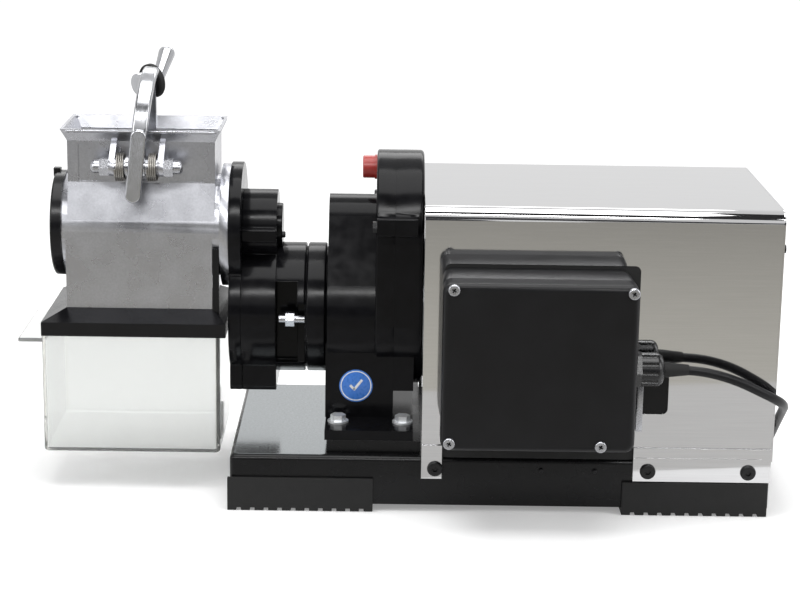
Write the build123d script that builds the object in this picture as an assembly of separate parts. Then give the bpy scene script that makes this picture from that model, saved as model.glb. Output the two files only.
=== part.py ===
from build123d import *

import os
from math import acos, asin, atan2, cos, pi, radians, sin, sqrt, tan

# Electric grater with a reduction gearbox, in millimetres, +Z up.
# X runs along the drive shafts, the grating head is at -X and the motor at +X.
# Y runs from the cable side at -Y to the operator's side at +Y.
# The origin is at the middle of the footprint, on the surface it stands on.

# Clearances
FIT = 0.05
SLIP = 0.3
BOLT_PLAY = 0.2

# Shaft lines
AXIS_Y = 37.0
LOW_Z = 170.0
SHAFT_RISE = 82.0
HIGH_Z = LOW_Z + SHAFT_RISE
OUTPUT_SHAFT_R = 10.0
DRUM_SHAFT_R = 10.0
MID_SHAFT_R = 8.5

# Gears
GEAR_MODULE = 2.0
OUTPUT_TEETH = 60
MID_PINION_TEETH = 22
MID_WHEEL_TEETH = 68
MOTOR_TEETH = 14
INPUT_TEETH = 53
DRUM_TEETH = 29

# Stations along the drive line
PLATE_LEFT = -160.0
PLATE_THICK = 12.0
GRATER_CASE_LEN = 33.5
CLAMP_RING_LEN = 28.3
GROOVE_LEN = 1.6
NECK_RING_LEN = 18.3
NECK_STEP_LEN = 2.3
REDUCER_LEN = 46.1
CASE_HALF_LEN = 18.4
CASE_COVER_LEN = 27.6
CASE_LEFT = PLATE_LEFT + PLATE_THICK
CASE_RIGHT = CASE_LEFT + GRATER_CASE_LEN
RING_RIGHT = CASE_RIGHT + CLAMP_RING_LEN
NECK_LEFT = RING_RIGHT + GROOVE_LEN
NECK_RIGHT = NECK_LEFT + NECK_RING_LEN
REDUCER_LEFT = NECK_RIGHT + NECK_STEP_LEN
STEP_X = REDUCER_LEFT + REDUCER_LEN
SPLIT_X = STEP_X + CASE_HALF_LEN
MOTOR_FACE = SPLIT_X + CASE_COVER_LEN

# Base tray and feet
BASE_LEFT = -154.5
BASE_RIGHT = 361.0
BASE_DEPTH = 245.2
BASE_BOTTOM = 6.5
BASE_TOP = 53.8
BASE_SHEET = 2.5
BASE_FOLD = 5.0
BASE_RETURN = 26.0
BASE_FRONT = AXIS_Y - BASE_DEPTH / 2
BASE_BACK = AXIS_Y + BASE_DEPTH / 2
STRIP_THICK = 4.0
STRIP_TOP = 32.4
STRIP_REACH = 28.0
STRIP_LEFT_LEN = 138.8
STRIP_RIGHT_LEN = 139.0
STRIP_OVERHANG = 2.0
RIB_COUNT = 11
RIB_WIDTH = 8.6
RIB_DEPTH = 2.6

# Motor cover
COVER_SHEET = 1.5
COVER_LEFT = 28.1
COVER_TOP = 296.1
COVER_BEND = 12.0
COVER_JOGGLE_Z = 64.9
COVER_INSET = 2.0
COVER_SKIRT_Z = 33.2
NOTCH_LEFT = 47.6
NOTCH_RIGHT = 229.8
NOTCH_TOP = 243.2
NOTCH_CORNER = 5.5
WINDOW_RIGHT = 260.5
WINDOW_BOTTOM = 99.7
WINDOW_TOP = 140.0
PANEL_INSET = 2.0
SKIRT_SCREW_X = (41.2, 243.9, 339.6)
SKIRT_SCREW_Z = 43.3
SKIRT_SCREW_HEAD_R = 7.5
SKIRT_SCREW_R = 2.5
SKIRT_SCREW_SOCKET = 5.0
SKIRT_SCREW_SOCKET_DEPTH = 1.8
END_SCREW_R = 1.5
END_SCREW_HEAD_R = 4.0
END_SCREW_HEAD = 2.3
SLIT_LEFT = 231.0
SLIT_RIGHT = 352.0
SLIT_Z = 57.0
SLIT_WIDTH = 1.0
SLIT_DEPTH = 0.7
END_SCREW_INSET = 8.0
END_SCREW_Z = (90.0, 260.0)

# Reduction gearbox
REDUCER_LOW_R = 72.8
REDUCER_HIGH_R = 32.0
BIG_CASE_LOW_R = 74.3
BIG_CASE_HIGH_R = 76.0
CASE_WALL = 5.0
REDUCER_WALL = 5.5
LEG_WIDTH = 133.2
LEG_OVERHANG = 1.4
FOOT_LEFT = -64.7
FOOT_RIGHT = 19.9
FOOT_DEPTH = BASE_DEPTH - 25.2
FOOT_THICK = 9.5
SPACER_LEFT = -62.3
SPACER_RIGHT = 27.0
SPACER_THICK = 12.2
SPACER_DEPTH = BASE_DEPTH - 24.2
COVER_LUG_RIGHT = 20.0
COVER_LUG_BOTTOM = 103.0
EAR_LOW_Z = 259.0
EAR_HIGH_Z = 277.0
EAR_REACH = 8.0
CASE_BOLT_R = 3.0
CASE_BOLT_INSET = 4.5
FOOT_BOLT_X = (-52.4, 10.0)
FOOT_BOLT_INSET = 29.2
FOOT_BOLT_R = 4.0
FOOT_BOLT_FLATS = 13.0
FOOT_BOLT_HEAD = 5.5
WASHER_R = 10.0
WASHER_THICK = 1.8
OIL_PLUG_Z = 311.5
OIL_PLUG_R = 11.0
OIL_PLUG_LEN = 11.5
OIL_SEAL_LEN = 2.4

# Bearings
BIG_BEARING_R = 17.5
SMALL_BEARING_R = 14.0
BEARING_LEN = 9.0
BOSS_WALL = 3.0

# Neck and quick coupling
NECK_R = 63.9
NECK_BORE_R = 30.0
GROOVE_R = 60.0
RING_BORE_R = 30.0
WINDOW_HIGH_Z = 207.0
WINDOW_LOW_Z = 124.0
WINDOW_DEPTH = 32.0
WINDOW_STEP_Z = 187.0
WINDOW_STEP_LEN = 21.0
STUD_PITCH_R = 52.0
STUD_R = 4.0
STUD_LEN = 36.0
STUD_NUT_LEN = 8.4
STUD_NUT_FLATS = 13.0
STUD_END = 6.5

# Gear case of the grating head
GRATER_CASE_HIGH_R = 35.5
GRATER_CASE_LOW_R = 64.0
GRATER_CASE_WALL = 3.0
GRATER_LUG_WIDTH = 80.0
GRATER_LUG_BOTTOM = 93.1
PLATE_HIGH_R = 62.0
CAP_R = 22.0
CAP_THICK = 4.8

# Grating head
HOUSING_R = 50.0
HOUSING_BORE_R = 46.0
HOUSING_LEFT = -327.0
DRUM_R = 41.5
DRUM_WALL = 2.5
DRUM_LEFT = HOUSING_LEFT + 9.0
DRUM_RIGHT = PLATE_LEFT - 12.0
DRUM_DISC = 4.0
TOOTH_ROWS = 10
TEETH_AROUND = 16
TOOTH_HEIGHT = 1.4
TOOTH_SIZE = 4.4
FLANGE_R = 60.0
FLANGE_LEN = 8.5
CHUTE_LEFT = HOUSING_LEFT + 10.0
CHUTE_RIGHT = PLATE_LEFT - 16.0
CHUTE_WALL = 3.0
CHUTE_BOTTOM = 162.0
HOPPER_LEFT = HOUSING_LEFT + 12.0
HOPPER_RIGHT = PLATE_LEFT - 13.4
HOPPER_FRONT = -2.0
HOPPER_BACK = 78.0
HOPPER_WALL = 3.0
HOPPER_TOP = 352.0
RIM_DROP = 12.0
RIM_FLARE = 6.0
PANEL_DEPTH = 1.0
PANEL_MARGIN = 10.5
PANEL_BOTTOM = 301.0
PANEL_TOP = 337.0
SADDLE_Z = 300.0
END_CAP_R = 51.5
END_CAP_SKIRT = 5.5
END_CAP_NOTCH = 9.0
END_CAP_THICK = 5.0
END_CAP_SPIGOT = 6.0
BUSH_R = 14.0
KNOB_SIZE = 8.0

# Collar and bin
COLLAR_LEFT = CHUTE_LEFT - 22.0
COLLAR_RIGHT = CHUTE_RIGHT + 14.3
COLLAR_DEPTH = 145.0
COLLAR_BOTTOM = 155.0
COLLAR_SHOULDER = 168.4
COLLAR_TOP = 178.3
COLLAR_SKIN = 2.3
STAY_WIDTH = 6.0
STAY_THICK = 3.0
STAY_TOP = 238.5
RAIL_THICK = 2.0
RAIL_GAP = 0.1
LIP_THICK = 2.0
LIP_REACH = 1.9
BIN_LEFT = COLLAR_LEFT - 1.0
BIN_RIGHT = COLLAR_RIGHT - 6.3
BIN_DEPTH = COLLAR_DEPTH - 9.2
BIN_BOTTOM = 37.0
BIN_WALL = 3.5
BIN_CORNER = 6.0
TAB_REACH = 23.0
TAB_THICK = 4.0
TAB_Z = 146.0

# Lever
PIVOT_Y = -23.6
PIVOT_Z = 319.0
PIN_R = 5.0
LEVER_X = (HOPPER_LEFT + HOPPER_RIGHT) / 2 - 3.8
EAR_X = (LEVER_X - 24.0, LEVER_X + 22.5)
PIN_LEFT = EAR_X[0] - 14.0
PIN_RIGHT = EAR_X[1] + 19.5
EAR_THICK = 5.5
EAR_R = 9.0
EAR_TOP_Z = 345.0
LEVER_WIDTH = 15.0
LEVER_HUB_R = 11.0
HUB_LEFT = LEVER_X - 7.5
HUB_RIGHT = LEVER_X + 10.5
LEVER_LEAN = 6.0
LEAN_FROM_Z = 300.0
STRIP_FRONT = -36.0
STRIP_DEPTH = 5.5
STRIP_LOW_Z = 286.0
STRIP_HIGH_Z = 357.0
ARM_CENTRE_Y = 30.0
ARM_CENTRE_Z = 346.0
ARM_R = 57.0
ARM_DEPTH = 9.0
ARM_END_ANGLE = 72.0
LEG_X = LEVER_X + 8.6
LEG_Y = 41.0
LEG_SIZE = 12.0
HEAD_X = LEVER_X + 7.0
HEAD_Y = 47.6
HEAD_Z = 390.5
HEAD_R = 11.0
HEAD_LEN = 14.0
RING_TURN = (0.95, 1.0, 0.21)
GRIP_TURN = (0.2, 1.0, 0.766)
GRIP_R = 8.2
GRIP_NECK_R = 5.6
GRIP_LEN = 34.7
GRIP_RING_R = 16.8
GRIP_RING_LEN = 7.0
GRIP_STUB = 11.5
SPRING_R = 13.75
SPRING_LENGTHS = (10.0, 10.5)
SPRING_BORE_R = 9.0
SLEEVE_R = 8.7
NUT_LEFT_LEN = 18.0
NUT_RIGHT_LEN = 18.0
NUT_FLATS = 16.0
PRESS_LEFT = HOPPER_LEFT + 5.0
PRESS_RIGHT = HOPPER_RIGHT - 4.6
PRESS_FRONT = 14.4
PRESS_BACK = 67.4
PRESS_TOP = 322.0
PRESS_HOLLOW_R = 44.8

# Switch box
BOX_LEFT = 43.8
BOX_RIGHT = 221.7
BOX_LOW_Z = 84.0
BOX_HIGH_Z = 241.5
BOX_DRAFT = 1.6
BODY_DEPTH = 49.9
LID_DEPTH = 25.6
BOX_WALL = 3.0
BOX_CORNER = 9.0
LID_EDGE = 6.0
BRACKET_MARGIN = 13.0
BRACKET_SHEET = 2.0
BRACKET_FOOT = 24.0
LID_SCREWS = ((53.7, 236.2), (215.5, 235.0), (51.7, 92.0), (190.4, 90.8))
LID_SCREW_HEAD_R = 5.5
LID_SCREW_HEAD = 2.9
LID_SCREW_R = 2.0
LID_SCREW_LEN = 20.0
POST_R = 4.6
CAPACITOR_R = 20.0
CAPACITOR_LEN = 95.0
TERMINAL_LEN = 62.0

# Gland and cord
GLAND_INSET = 22.5
GLAND_Z = 150.0
GLAND_FLATS = 30.0
GLAND_HEX_LEN = 9.0
GLAND_NUT_R = 16.0
GLAND_NUT_LEN = 21.0
GLAND_THREAD_R = 10.0
CORD_R = 4.5
COIL_X = BASE_RIGHT - 43.0
COIL_Y = BASE_BACK + 76.4
COIL_R = 47.0
COIL_TURNS_WIDE = 2
COIL_TURNS_HIGH = 2
PLUG_R = 17.0
PLUG_LEN = 34.0
PLUG_BOOT_LEN = 18.0
PIN_PITCH = 19.0
PLUG_PIN_R = 2.4
PLUG_PIN_LEN = 19.0

# Motor inside the cover
MOTOR_FLANGE_R = 68.0
SHIELD_LEN = 16.0
MOTOR_R = 60.0
FIN_HEIGHT = 7.0
FIN_THICK = 3.0
FIN_COUNT = 16
MOTOR_BODY_LEN = 170.0
STATOR_BORE_R = 36.0
STATOR_LEN = 110.0
ROTOR_R = 35.4
MOTOR_SHAFT_R = 9.0
MOTOR_BEARING_R = 17.5
FAN_R = 50.0
FAN_LEN = 16.0
COWL_LEN = 36.0

# Switch on the operator's side
SWITCH_X = 205.0
SWITCH_Z = 205.0
SWITCH_WIDTH = 26.0
SWITCH_HEIGHT = 46.0
BEZEL_RIM = 5.0
BEZEL_THICK = 3.0
BEZEL_DEPTH = 22.0
ROCKER_WIDTH = 20.0
ROCKER_HEIGHT = 38.0
ROCKER_PIN_R = 2.0


# Basic shapes
def block(x0, x1, y0, y1, z0, z1):
    return Pos((x0 + x1) / 2, (y0 + y1) / 2, (z0 + z1) / 2) * Box(x1 - x0, y1 - y0, z1 - z0)


def rod_x(x0, x1, radius, y, z):
    return Pos((x0 + x1) / 2, y, z) * Rot(0, 90, 0) * Cylinder(radius, x1 - x0)


def rod_y(y0, y1, radius, x, z):
    return Pos(x, (y0 + y1) / 2, z) * Rot(90, 0, 0) * Cylinder(radius, y1 - y0)


def rod_z(z0, z1, radius, x, y):
    return Pos(x, y, (z0 + z1) / 2) * Cylinder(radius, z1 - z0)


def ring_x(x0, x1, outer, inner, y, z):
    return rod_x(x0, x1, outer, y, z) - rod_x(x0 - 1, x1 + 1, inner, y, z)


def hex_x(x0, x1, flats, y, z):
    section = Pos(y, z) * RegularPolygon(flats / sqrt(3), 6)
    return slab(section, x0, x1)


def hex_z(z0, z1, flats, x, y):
    return extrude(Pos(x, y, z0) * RegularPolygon(flats / sqrt(3), 6), amount=z1 - z0, dir=(0, 0, 1))


def slab(section, x0, x1):
    return extrude(Plane.YZ.offset(x0) * section, amount=x1 - x0, dir=(1, 0, 0))


def mirrored(shape):
    return mirror(shape, about=Plane.XZ.offset(-AXIS_Y))


def group(*solids):
    return Compound(children=list(solids))


# Outline around both shafts: two circles joined by their common tangents
def lobe(high_r, low_r):
    lean = (low_r - high_r) / SHAFT_RISE
    side = sqrt(1 - lean**2)
    high_right = (AXIS_Y + side * high_r, HIGH_Z + lean * high_r)
    high_left = (AXIS_Y - side * high_r, HIGH_Z + lean * high_r)
    low_right = (AXIS_Y + side * low_r, LOW_Z + lean * low_r)
    low_left = (AXIS_Y - side * low_r, LOW_Z + lean * low_r)
    edges = [
        ThreePointArc(high_right, (AXIS_Y, HIGH_Z + high_r), high_left),
        Line(high_left, low_left),
        ThreePointArc(low_left, (AXIS_Y, LOW_Z - low_r), low_right),
        Line(low_right, high_right),
    ]
    return make_face(edges)


# Spur gear about an axis along X, with one tooth turned to the given angle
def gear(teeth, x0, x1, z, bore_r, tooth_angle):
    pitch_r = GEAR_MODULE * teeth / 2
    tip_r = pitch_r + 0.8 * GEAR_MODULE
    root_r = pitch_r - 1.1 * GEAR_MODULE
    half_tip = 0.33 * GEAR_MODULE
    half_root = 0.88 * GEAR_MODULE
    points = []
    for i in range(teeth):
        middle = radians(tooth_angle) + 2 * pi * i / teeth
        for radius, half in ((root_r, -half_root), (tip_r, -half_tip), (tip_r, half_tip), (root_r, half_root)):
            angle = middle + asin(half / radius)
            points.append((AXIS_Y + radius * cos(angle), z + radius * sin(angle)))
    blank = slab(make_face(Polyline(*points, close=True)), x0, x1)
    return blank - rod_x(x0 - 1, x1 + 1, bore_r, AXIS_Y, z)


# Angle that puts the middle of a gap, not a tooth, towards the partner
def gap_towards(teeth, angle):
    return angle + 180 / teeth


# Base
def make_base_tray():
    outer = block(BASE_LEFT, BASE_RIGHT, BASE_FRONT, BASE_BACK, BASE_BOTTOM, BASE_TOP)
    outer = fillet(outer.edges().filter_by(Axis.Z) + outer.faces().sort_by(Axis.Z)[-1].edges(), BASE_FOLD)
    inner = block(
        BASE_LEFT + BASE_SHEET,
        BASE_RIGHT - BASE_SHEET,
        BASE_FRONT + BASE_SHEET,
        BASE_BACK - BASE_SHEET,
        BASE_BOTTOM + BASE_SHEET,
        BASE_TOP - BASE_SHEET,
    )
    opening = block(
        BASE_LEFT + BASE_RETURN,
        BASE_RIGHT - BASE_RETURN,
        BASE_FRONT + BASE_RETURN,
        BASE_BACK - BASE_RETURN,
        BASE_BOTTOM - 1,
        BASE_BOTTOM + BASE_SHEET + 1,
    )
    tray = outer - inner - opening
    for x, y in foot_bolt_places():
        tray -= rod_z(BASE_TOP - BASE_SHEET - 1, BASE_TOP + 1, FOOT_BOLT_R + BOLT_PLAY, x, y)
    for x in SKIRT_SCREW_X:
        tray -= rod_y(BASE_FRONT - 1, BASE_FRONT + BASE_SHEET + 1, SKIRT_SCREW_R + BOLT_PLAY, x, SKIRT_SCREW_Z)
        tray -= rod_y(BASE_BACK - BASE_SHEET - 1, BASE_BACK + 1, SKIRT_SCREW_R + BOLT_PLAY, x, SKIRT_SCREW_Z)
    return tray


def make_foot_strips():
    left_x = BASE_LEFT - STRIP_OVERHANG
    right_x = BASE_RIGHT - STRIP_RIGHT_LEN - STRIP_OVERHANG
    strips = [make_foot_strip(left_x, STRIP_LEFT_LEN), make_foot_strip(right_x, STRIP_RIGHT_LEN)]
    return group(*strips, *[mirrored(strip) for strip in strips])


def make_foot_strip(x0, length):
    x1 = x0 + length
    leg = block(x0, x1, BASE_FRONT - STRIP_THICK, BASE_FRONT, RIB_DEPTH, STRIP_TOP)
    sole = block(x0, x1, BASE_FRONT, BASE_FRONT + STRIP_REACH, RIB_DEPTH, BASE_BOTTOM)
    strip = leg + sole
    pitch = (length - RIB_WIDTH) / (RIB_COUNT - 1)
    for i in range(RIB_COUNT):
        left = x0 + i * pitch
        strip += block(
            left, left + RIB_WIDTH, BASE_FRONT - STRIP_THICK, BASE_FRONT + STRIP_REACH, 0, RIB_DEPTH
        )
    return strip


def foot_bolt_places():
    return [
        (x, y)
        for x in FOOT_BOLT_X
        for y in (AXIS_Y - FOOT_DEPTH / 2 + FOOT_BOLT_INSET, AXIS_Y + FOOT_DEPTH / 2 - FOOT_BOLT_INSET)
    ]


def make_foot_bolts():
    top = BASE_TOP + SPACER_THICK + FOOT_THICK + WASHER_THICK
    bolts = []
    for x, y in foot_bolt_places():
        bolt = hex_z(top, top + FOOT_BOLT_HEAD, FOOT_BOLT_FLATS, x, y)
        bolt += rod_z(BASE_TOP - BASE_SHEET - FOOT_BOLT_HEAD - 3, top, FOOT_BOLT_R, x, y)
        bolts.append(bolt)
    return group(*bolts, *make_foot_washers())


def make_foot_washers():
    low = BASE_TOP + SPACER_THICK + FOOT_THICK
    nut_top = BASE_TOP - BASE_SHEET
    pieces = []
    for x, y in foot_bolt_places():
        washer = rod_z(low, low + WASHER_THICK, WASHER_R, x, y)
        pieces.append(washer - rod_z(low - 1, low + WASHER_THICK + 1, FOOT_BOLT_R + BOLT_PLAY, x, y))
        nut = hex_z(nut_top - FOOT_BOLT_HEAD, nut_top, FOOT_BOLT_FLATS, x, y)
        pieces.append(nut - rod_z(nut_top - FOOT_BOLT_HEAD - 1, nut_top + 1, FOOT_BOLT_R + FIT, x, y))
    return pieces


def make_spacer():
    low = BASE_TOP
    spacer = block(
        SPACER_LEFT,
        SPACER_RIGHT,
        AXIS_Y - SPACER_DEPTH / 2,
        AXIS_Y + SPACER_DEPTH / 2,
        low,
        low + SPACER_THICK,
    )
    for x, y in foot_bolt_places():
        spacer -= rod_z(low - 1, low + SPACER_THICK + 1, FOOT_BOLT_R + BOLT_PLAY, x, y)
    return spacer


# Motor cover
WALL_FRONT = BASE_FRONT - COVER_SHEET + COVER_INSET
WALL_BACK = BASE_BACK + COVER_SHEET - COVER_INSET


def cover_section(inset, front, back, top, bottom):
    section = Pos(AXIS_Y, (top + bottom) / 2) * Rectangle(back - front - 2 * inset, top - bottom - 2 * inset)
    corners = section.vertices().sort_by(Axis.Y)[-2:]
    return fillet(corners, COVER_BEND - inset)


def make_motor_cover():
    outer = slab(
        cover_section(0, WALL_FRONT, WALL_BACK, COVER_TOP, BASE_TOP - 2), COVER_LEFT, BASE_RIGHT
    )
    inner = slab(
        cover_section(COVER_SHEET, WALL_FRONT, WALL_BACK, COVER_TOP, BASE_TOP - 40),
        COVER_LEFT - 1,
        BASE_RIGHT + 1,
    )
    cover = outer & block(COVER_LEFT, BASE_RIGHT, WALL_FRONT, WALL_BACK, COVER_JOGGLE_Z, COVER_TOP)
    cover -= inner
    skirt_front = BASE_FRONT - COVER_SHEET
    skirt_back = BASE_BACK + COVER_SHEET
    skirt_top = COVER_JOGGLE_Z + COVER_SHEET
    cover += block(COVER_LEFT, BASE_RIGHT, skirt_front, BASE_FRONT, COVER_SKIRT_Z, skirt_top)
    cover += block(COVER_LEFT, BASE_RIGHT, BASE_BACK, skirt_back, COVER_SKIRT_Z, skirt_top)
    cover += block(COVER_LEFT, BASE_RIGHT, skirt_front, WALL_FRONT + COVER_SHEET, COVER_JOGGLE_Z, skirt_top)
    cover += block(COVER_LEFT, BASE_RIGHT, WALL_BACK - COVER_SHEET, skirt_back, COVER_JOGGLE_Z, skirt_top)
    for z in END_SCREW_Z:
        tab = block(
            BASE_RIGHT - COVER_SHEET,
            BASE_RIGHT,
            WALL_FRONT + COVER_SHEET,
            WALL_FRONT + COVER_SHEET + 2 * END_SCREW_INSET,
            z - END_SCREW_INSET,
            z + END_SCREW_INSET,
        )
        screw_y = WALL_FRONT + END_SCREW_INSET
        tab -= rod_x(BASE_RIGHT - 5, BASE_RIGHT + 5, END_SCREW_R + BOLT_PLAY, screw_y, z)
        cover += tab
        cover += mirrored(tab)
    notch_mid = (NOTCH_TOP + NOTCH_CORNER) / 2
    notch = Pos((NOTCH_LEFT + NOTCH_RIGHT) / 2, notch_mid) * RectangleRounded(
        NOTCH_RIGHT - NOTCH_LEFT, NOTCH_TOP - NOTCH_CORNER, NOTCH_CORNER
    )
    window = Pos((NOTCH_RIGHT + WINDOW_RIGHT) / 2 - 10, (WINDOW_BOTTOM + WINDOW_TOP) / 2) * RectangleRounded(
        WINDOW_RIGHT - NOTCH_RIGHT + 20, WINDOW_TOP - WINDOW_BOTTOM, NOTCH_CORNER
    )
    cut = Plane.XZ.offset(-BASE_FRONT + 10) * (notch + window)
    cover -= extrude(cut, amount=20, dir=(0, 1, 0))
    cover -= block(
        SLIT_LEFT,
        SLIT_RIGHT,
        skirt_front - 1,
        skirt_front + SLIT_DEPTH,
        SLIT_Z - SLIT_WIDTH / 2,
        SLIT_Z + SLIT_WIDTH / 2,
    )
    for x in SKIRT_SCREW_X:
        cover -= rod_y(skirt_front - 1, BASE_FRONT + 1, SKIRT_SCREW_R + BOLT_PLAY, x, SKIRT_SCREW_Z)
        cover -= rod_y(BASE_BACK - 1, skirt_back + 1, SKIRT_SCREW_R + BOLT_PLAY, x, SKIRT_SCREW_Z)
    cover -= block(
        SWITCH_X - SWITCH_WIDTH / 2 - SLIP,
        SWITCH_X + SWITCH_WIDTH / 2 + SLIP,
        WALL_BACK - 5,
        WALL_BACK + 5,
        SWITCH_Z - SWITCH_HEIGHT / 2 - SLIP,
        SWITCH_Z + SWITCH_HEIGHT / 2 + SLIP,
    )
    return cover


def make_end_panel():
    section = cover_section(0, WALL_FRONT, WALL_BACK, COVER_TOP, BASE_TOP)
    panel = slab(section, BASE_RIGHT, BASE_RIGHT + COVER_SHEET)
    screw_y = WALL_FRONT + END_SCREW_INSET
    for z in END_SCREW_Z:
        for y in (screw_y, 2 * AXIS_Y - screw_y):
            panel -= rod_x(BASE_RIGHT - 1, BASE_RIGHT + 5, END_SCREW_R + BOLT_PLAY, y, z)
    return panel


def make_end_screws():
    screws = []
    screw_y = WALL_FRONT + END_SCREW_INSET
    face = BASE_RIGHT + COVER_SHEET
    for z in END_SCREW_Z:
        for y in (screw_y, 2 * AXIS_Y - screw_y):
            head = rod_x(face, face + END_SCREW_HEAD, END_SCREW_HEAD_R, y, z)
            screws.append(head + rod_x(face - 8, face, END_SCREW_R, y, z))
    return screws


def make_gear_side_panel():
    x0 = COVER_LEFT + PANEL_INSET
    section = cover_section(COVER_SHEET + 0.1, WALL_FRONT, WALL_BACK, COVER_TOP, BASE_TOP - 2 * COVER_SHEET)
    panel = slab(section, x0, x0 + COVER_SHEET)
    panel &= block(x0, x0 + COVER_SHEET, WALL_FRONT, WALL_BACK, BASE_TOP, COVER_TOP)
    return panel - rod_x(x0 - 1, x0 + COVER_SHEET + 1, MOTOR_FLANGE_R + 2, AXIS_Y, LOW_Z)


def make_skirt_screws():
    screws = []
    face = BASE_FRONT - COVER_SHEET
    for x in SKIRT_SCREW_X:
        head = rod_y(face - 2.8, face, SKIRT_SCREW_HEAD_R, x, SKIRT_SCREW_Z)
        head = fillet(head.faces().sort_by(Axis.Y)[0].edges(), 2.0)
        socket = RegularPolygon(SKIRT_SCREW_SOCKET / sqrt(3), 6)
        socket = Plane.XZ.offset(-face + 3.8) * Pos(x, SKIRT_SCREW_Z) * socket
        head -= extrude(socket, amount=SKIRT_SCREW_SOCKET_DEPTH + 1, dir=(0, 1, 0))
        screw = head + rod_y(face, BASE_FRONT + 9, SKIRT_SCREW_R, x, SKIRT_SCREW_Z)
        screws += [screw, mirrored(screw)]
    return group(*screws, *make_end_screws())


# Gearbox
LEG_FRONT = AXIS_Y - LEG_WIDTH / 2
LEG_BACK = AXIS_Y + LEG_WIDTH / 2
FOOT_LOW = BASE_TOP + SPACER_THICK
FOOT_HIGH = FOOT_LOW + FOOT_THICK
CASE_FRONT = AXIS_Y - BIG_CASE_HIGH_R
PLATE_SEAT = STEP_X + CASE_WALL
PLATE_FACE = PLATE_SEAT + CASE_WALL
BEARING_X = PLATE_SEAT - BEARING_LEN - 2
WALL_BOSS = REDUCER_LEFT + 14.0
COVER_INNER = MOTOR_FACE - CASE_WALL
WHEEL_LEFT = PLATE_FACE + 2.4
WHEEL_RIGHT = COVER_INNER - BEARING_LEN - 1.6


def case_ears(x0, x1):
    ear = block(x0, x1, CASE_FRONT - EAR_REACH, CASE_FRONT + CASE_WALL, EAR_LOW_Z, EAR_HIGH_Z)
    ear = fillet(ear.edges().filter_by(Axis.X), 2.0)
    return ear


def case_bolt_places():
    inset = CASE_FRONT - EAR_REACH + CASE_BOLT_INSET
    middle = (EAR_LOW_Z + EAR_HIGH_Z) / 2
    return [(inset, middle), (2 * AXIS_Y - inset, middle)]


def make_gearbox_housing():
    reducer = slab(lobe(REDUCER_HIGH_R, REDUCER_LOW_R), REDUCER_LEFT, STEP_X)
    case = slab(lobe(BIG_CASE_HIGH_R, BIG_CASE_LOW_R), STEP_X, SPLIT_X)
    case = fillet(case.faces().sort_by(Axis.X)[0].edges(), 2.5)
    ear = case_ears(STEP_X + 1, SPLIT_X)
    leg = block(REDUCER_LEFT - LEG_OVERHANG, SPLIT_X, LEG_FRONT, LEG_BACK, FOOT_HIGH, LOW_Z - 20)
    leg -= rod_x(NECK_LEFT, REDUCER_LEFT, NECK_R + SLIP, AXIS_Y, LOW_Z)
    foot = block(
        FOOT_LEFT, FOOT_RIGHT, AXIS_Y - FOOT_DEPTH / 2, AXIS_Y + FOOT_DEPTH / 2, FOOT_LOW, FOOT_HIGH
    )
    housing = reducer + case + ear + mirrored(ear) + leg + foot
    hollow = lobe(REDUCER_HIGH_R - REDUCER_WALL, REDUCER_LOW_R - REDUCER_WALL)
    housing -= slab(hollow, REDUCER_LEFT + REDUCER_WALL, PLATE_SEAT)
    housing -= slab(lobe(BIG_CASE_HIGH_R - CASE_WALL, BIG_CASE_LOW_R - CASE_WALL), PLATE_SEAT, SPLIT_X + 1)
    wall_in = REDUCER_LEFT + REDUCER_WALL
    housing += rod_x(wall_in, WALL_BOSS, SMALL_BEARING_R + BOSS_WALL, AXIS_Y, HIGH_Z)
    housing += rod_x(wall_in, WALL_BOSS, BIG_BEARING_R + BOSS_WALL, AXIS_Y, LOW_Z)
    pocket = WALL_BOSS - BEARING_LEN - 1
    housing -= rod_x(pocket, WALL_BOSS + 1, SMALL_BEARING_R + FIT, AXIS_Y, HIGH_Z)
    housing -= rod_x(pocket, WALL_BOSS + 1, BIG_BEARING_R + FIT, AXIS_Y, LOW_Z)
    housing -= rod_x(REDUCER_LEFT - 1, pocket + 1, OUTPUT_SHAFT_R + 1, AXIS_Y, LOW_Z)
    housing -= rod_x(STEP_X - 1, STEP_X + CASE_WALL + 1, 6.0, AXIS_Y, OIL_PLUG_Z)
    for y, z in case_bolt_places():
        housing -= rod_x(STEP_X - 1, SPLIT_X + 1, CASE_BOLT_R + BOLT_PLAY, y, z)
    for x, y in foot_bolt_places():
        housing -= rod_z(FOOT_LOW - 1, FOOT_HIGH + 1, FOOT_BOLT_R + BOLT_PLAY, x, y)
    return housing


def make_gearbox_cover():
    outer = slab(lobe(BIG_CASE_HIGH_R, BIG_CASE_LOW_R), SPLIT_X, MOTOR_FACE)
    outer = fillet(outer.faces().sort_by(Axis.X)[-1].edges(), 4.0)
    lug = block(SPLIT_X, COVER_LUG_RIGHT, LEG_FRONT, LEG_BACK, COVER_LUG_BOTTOM, LOW_Z - 20)
    ear = case_ears(SPLIT_X, MOTOR_FACE - 6)
    cover = outer + lug + ear + mirrored(ear)
    cover -= slab(lobe(BIG_CASE_HIGH_R - CASE_WALL, BIG_CASE_LOW_R - CASE_WALL), SPLIT_X - 1, COVER_INNER)
    boss = COVER_INNER - BEARING_LEN
    cover += rod_x(boss, COVER_INNER, SMALL_BEARING_R + BOSS_WALL, AXIS_Y, HIGH_Z)
    cover -= rod_x(boss - 1, COVER_INNER, SMALL_BEARING_R + FIT, AXIS_Y, HIGH_Z)
    cover -= rod_x(COVER_INNER - 1, MOTOR_FACE + 1, MOTOR_SHAFT_R + 1, AXIS_Y, LOW_Z)
    for y, z in case_bolt_places():
        cover -= rod_x(SPLIT_X - 1, MOTOR_FACE - 5, CASE_BOLT_R + BOLT_PLAY, y, z)
    return cover


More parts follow.
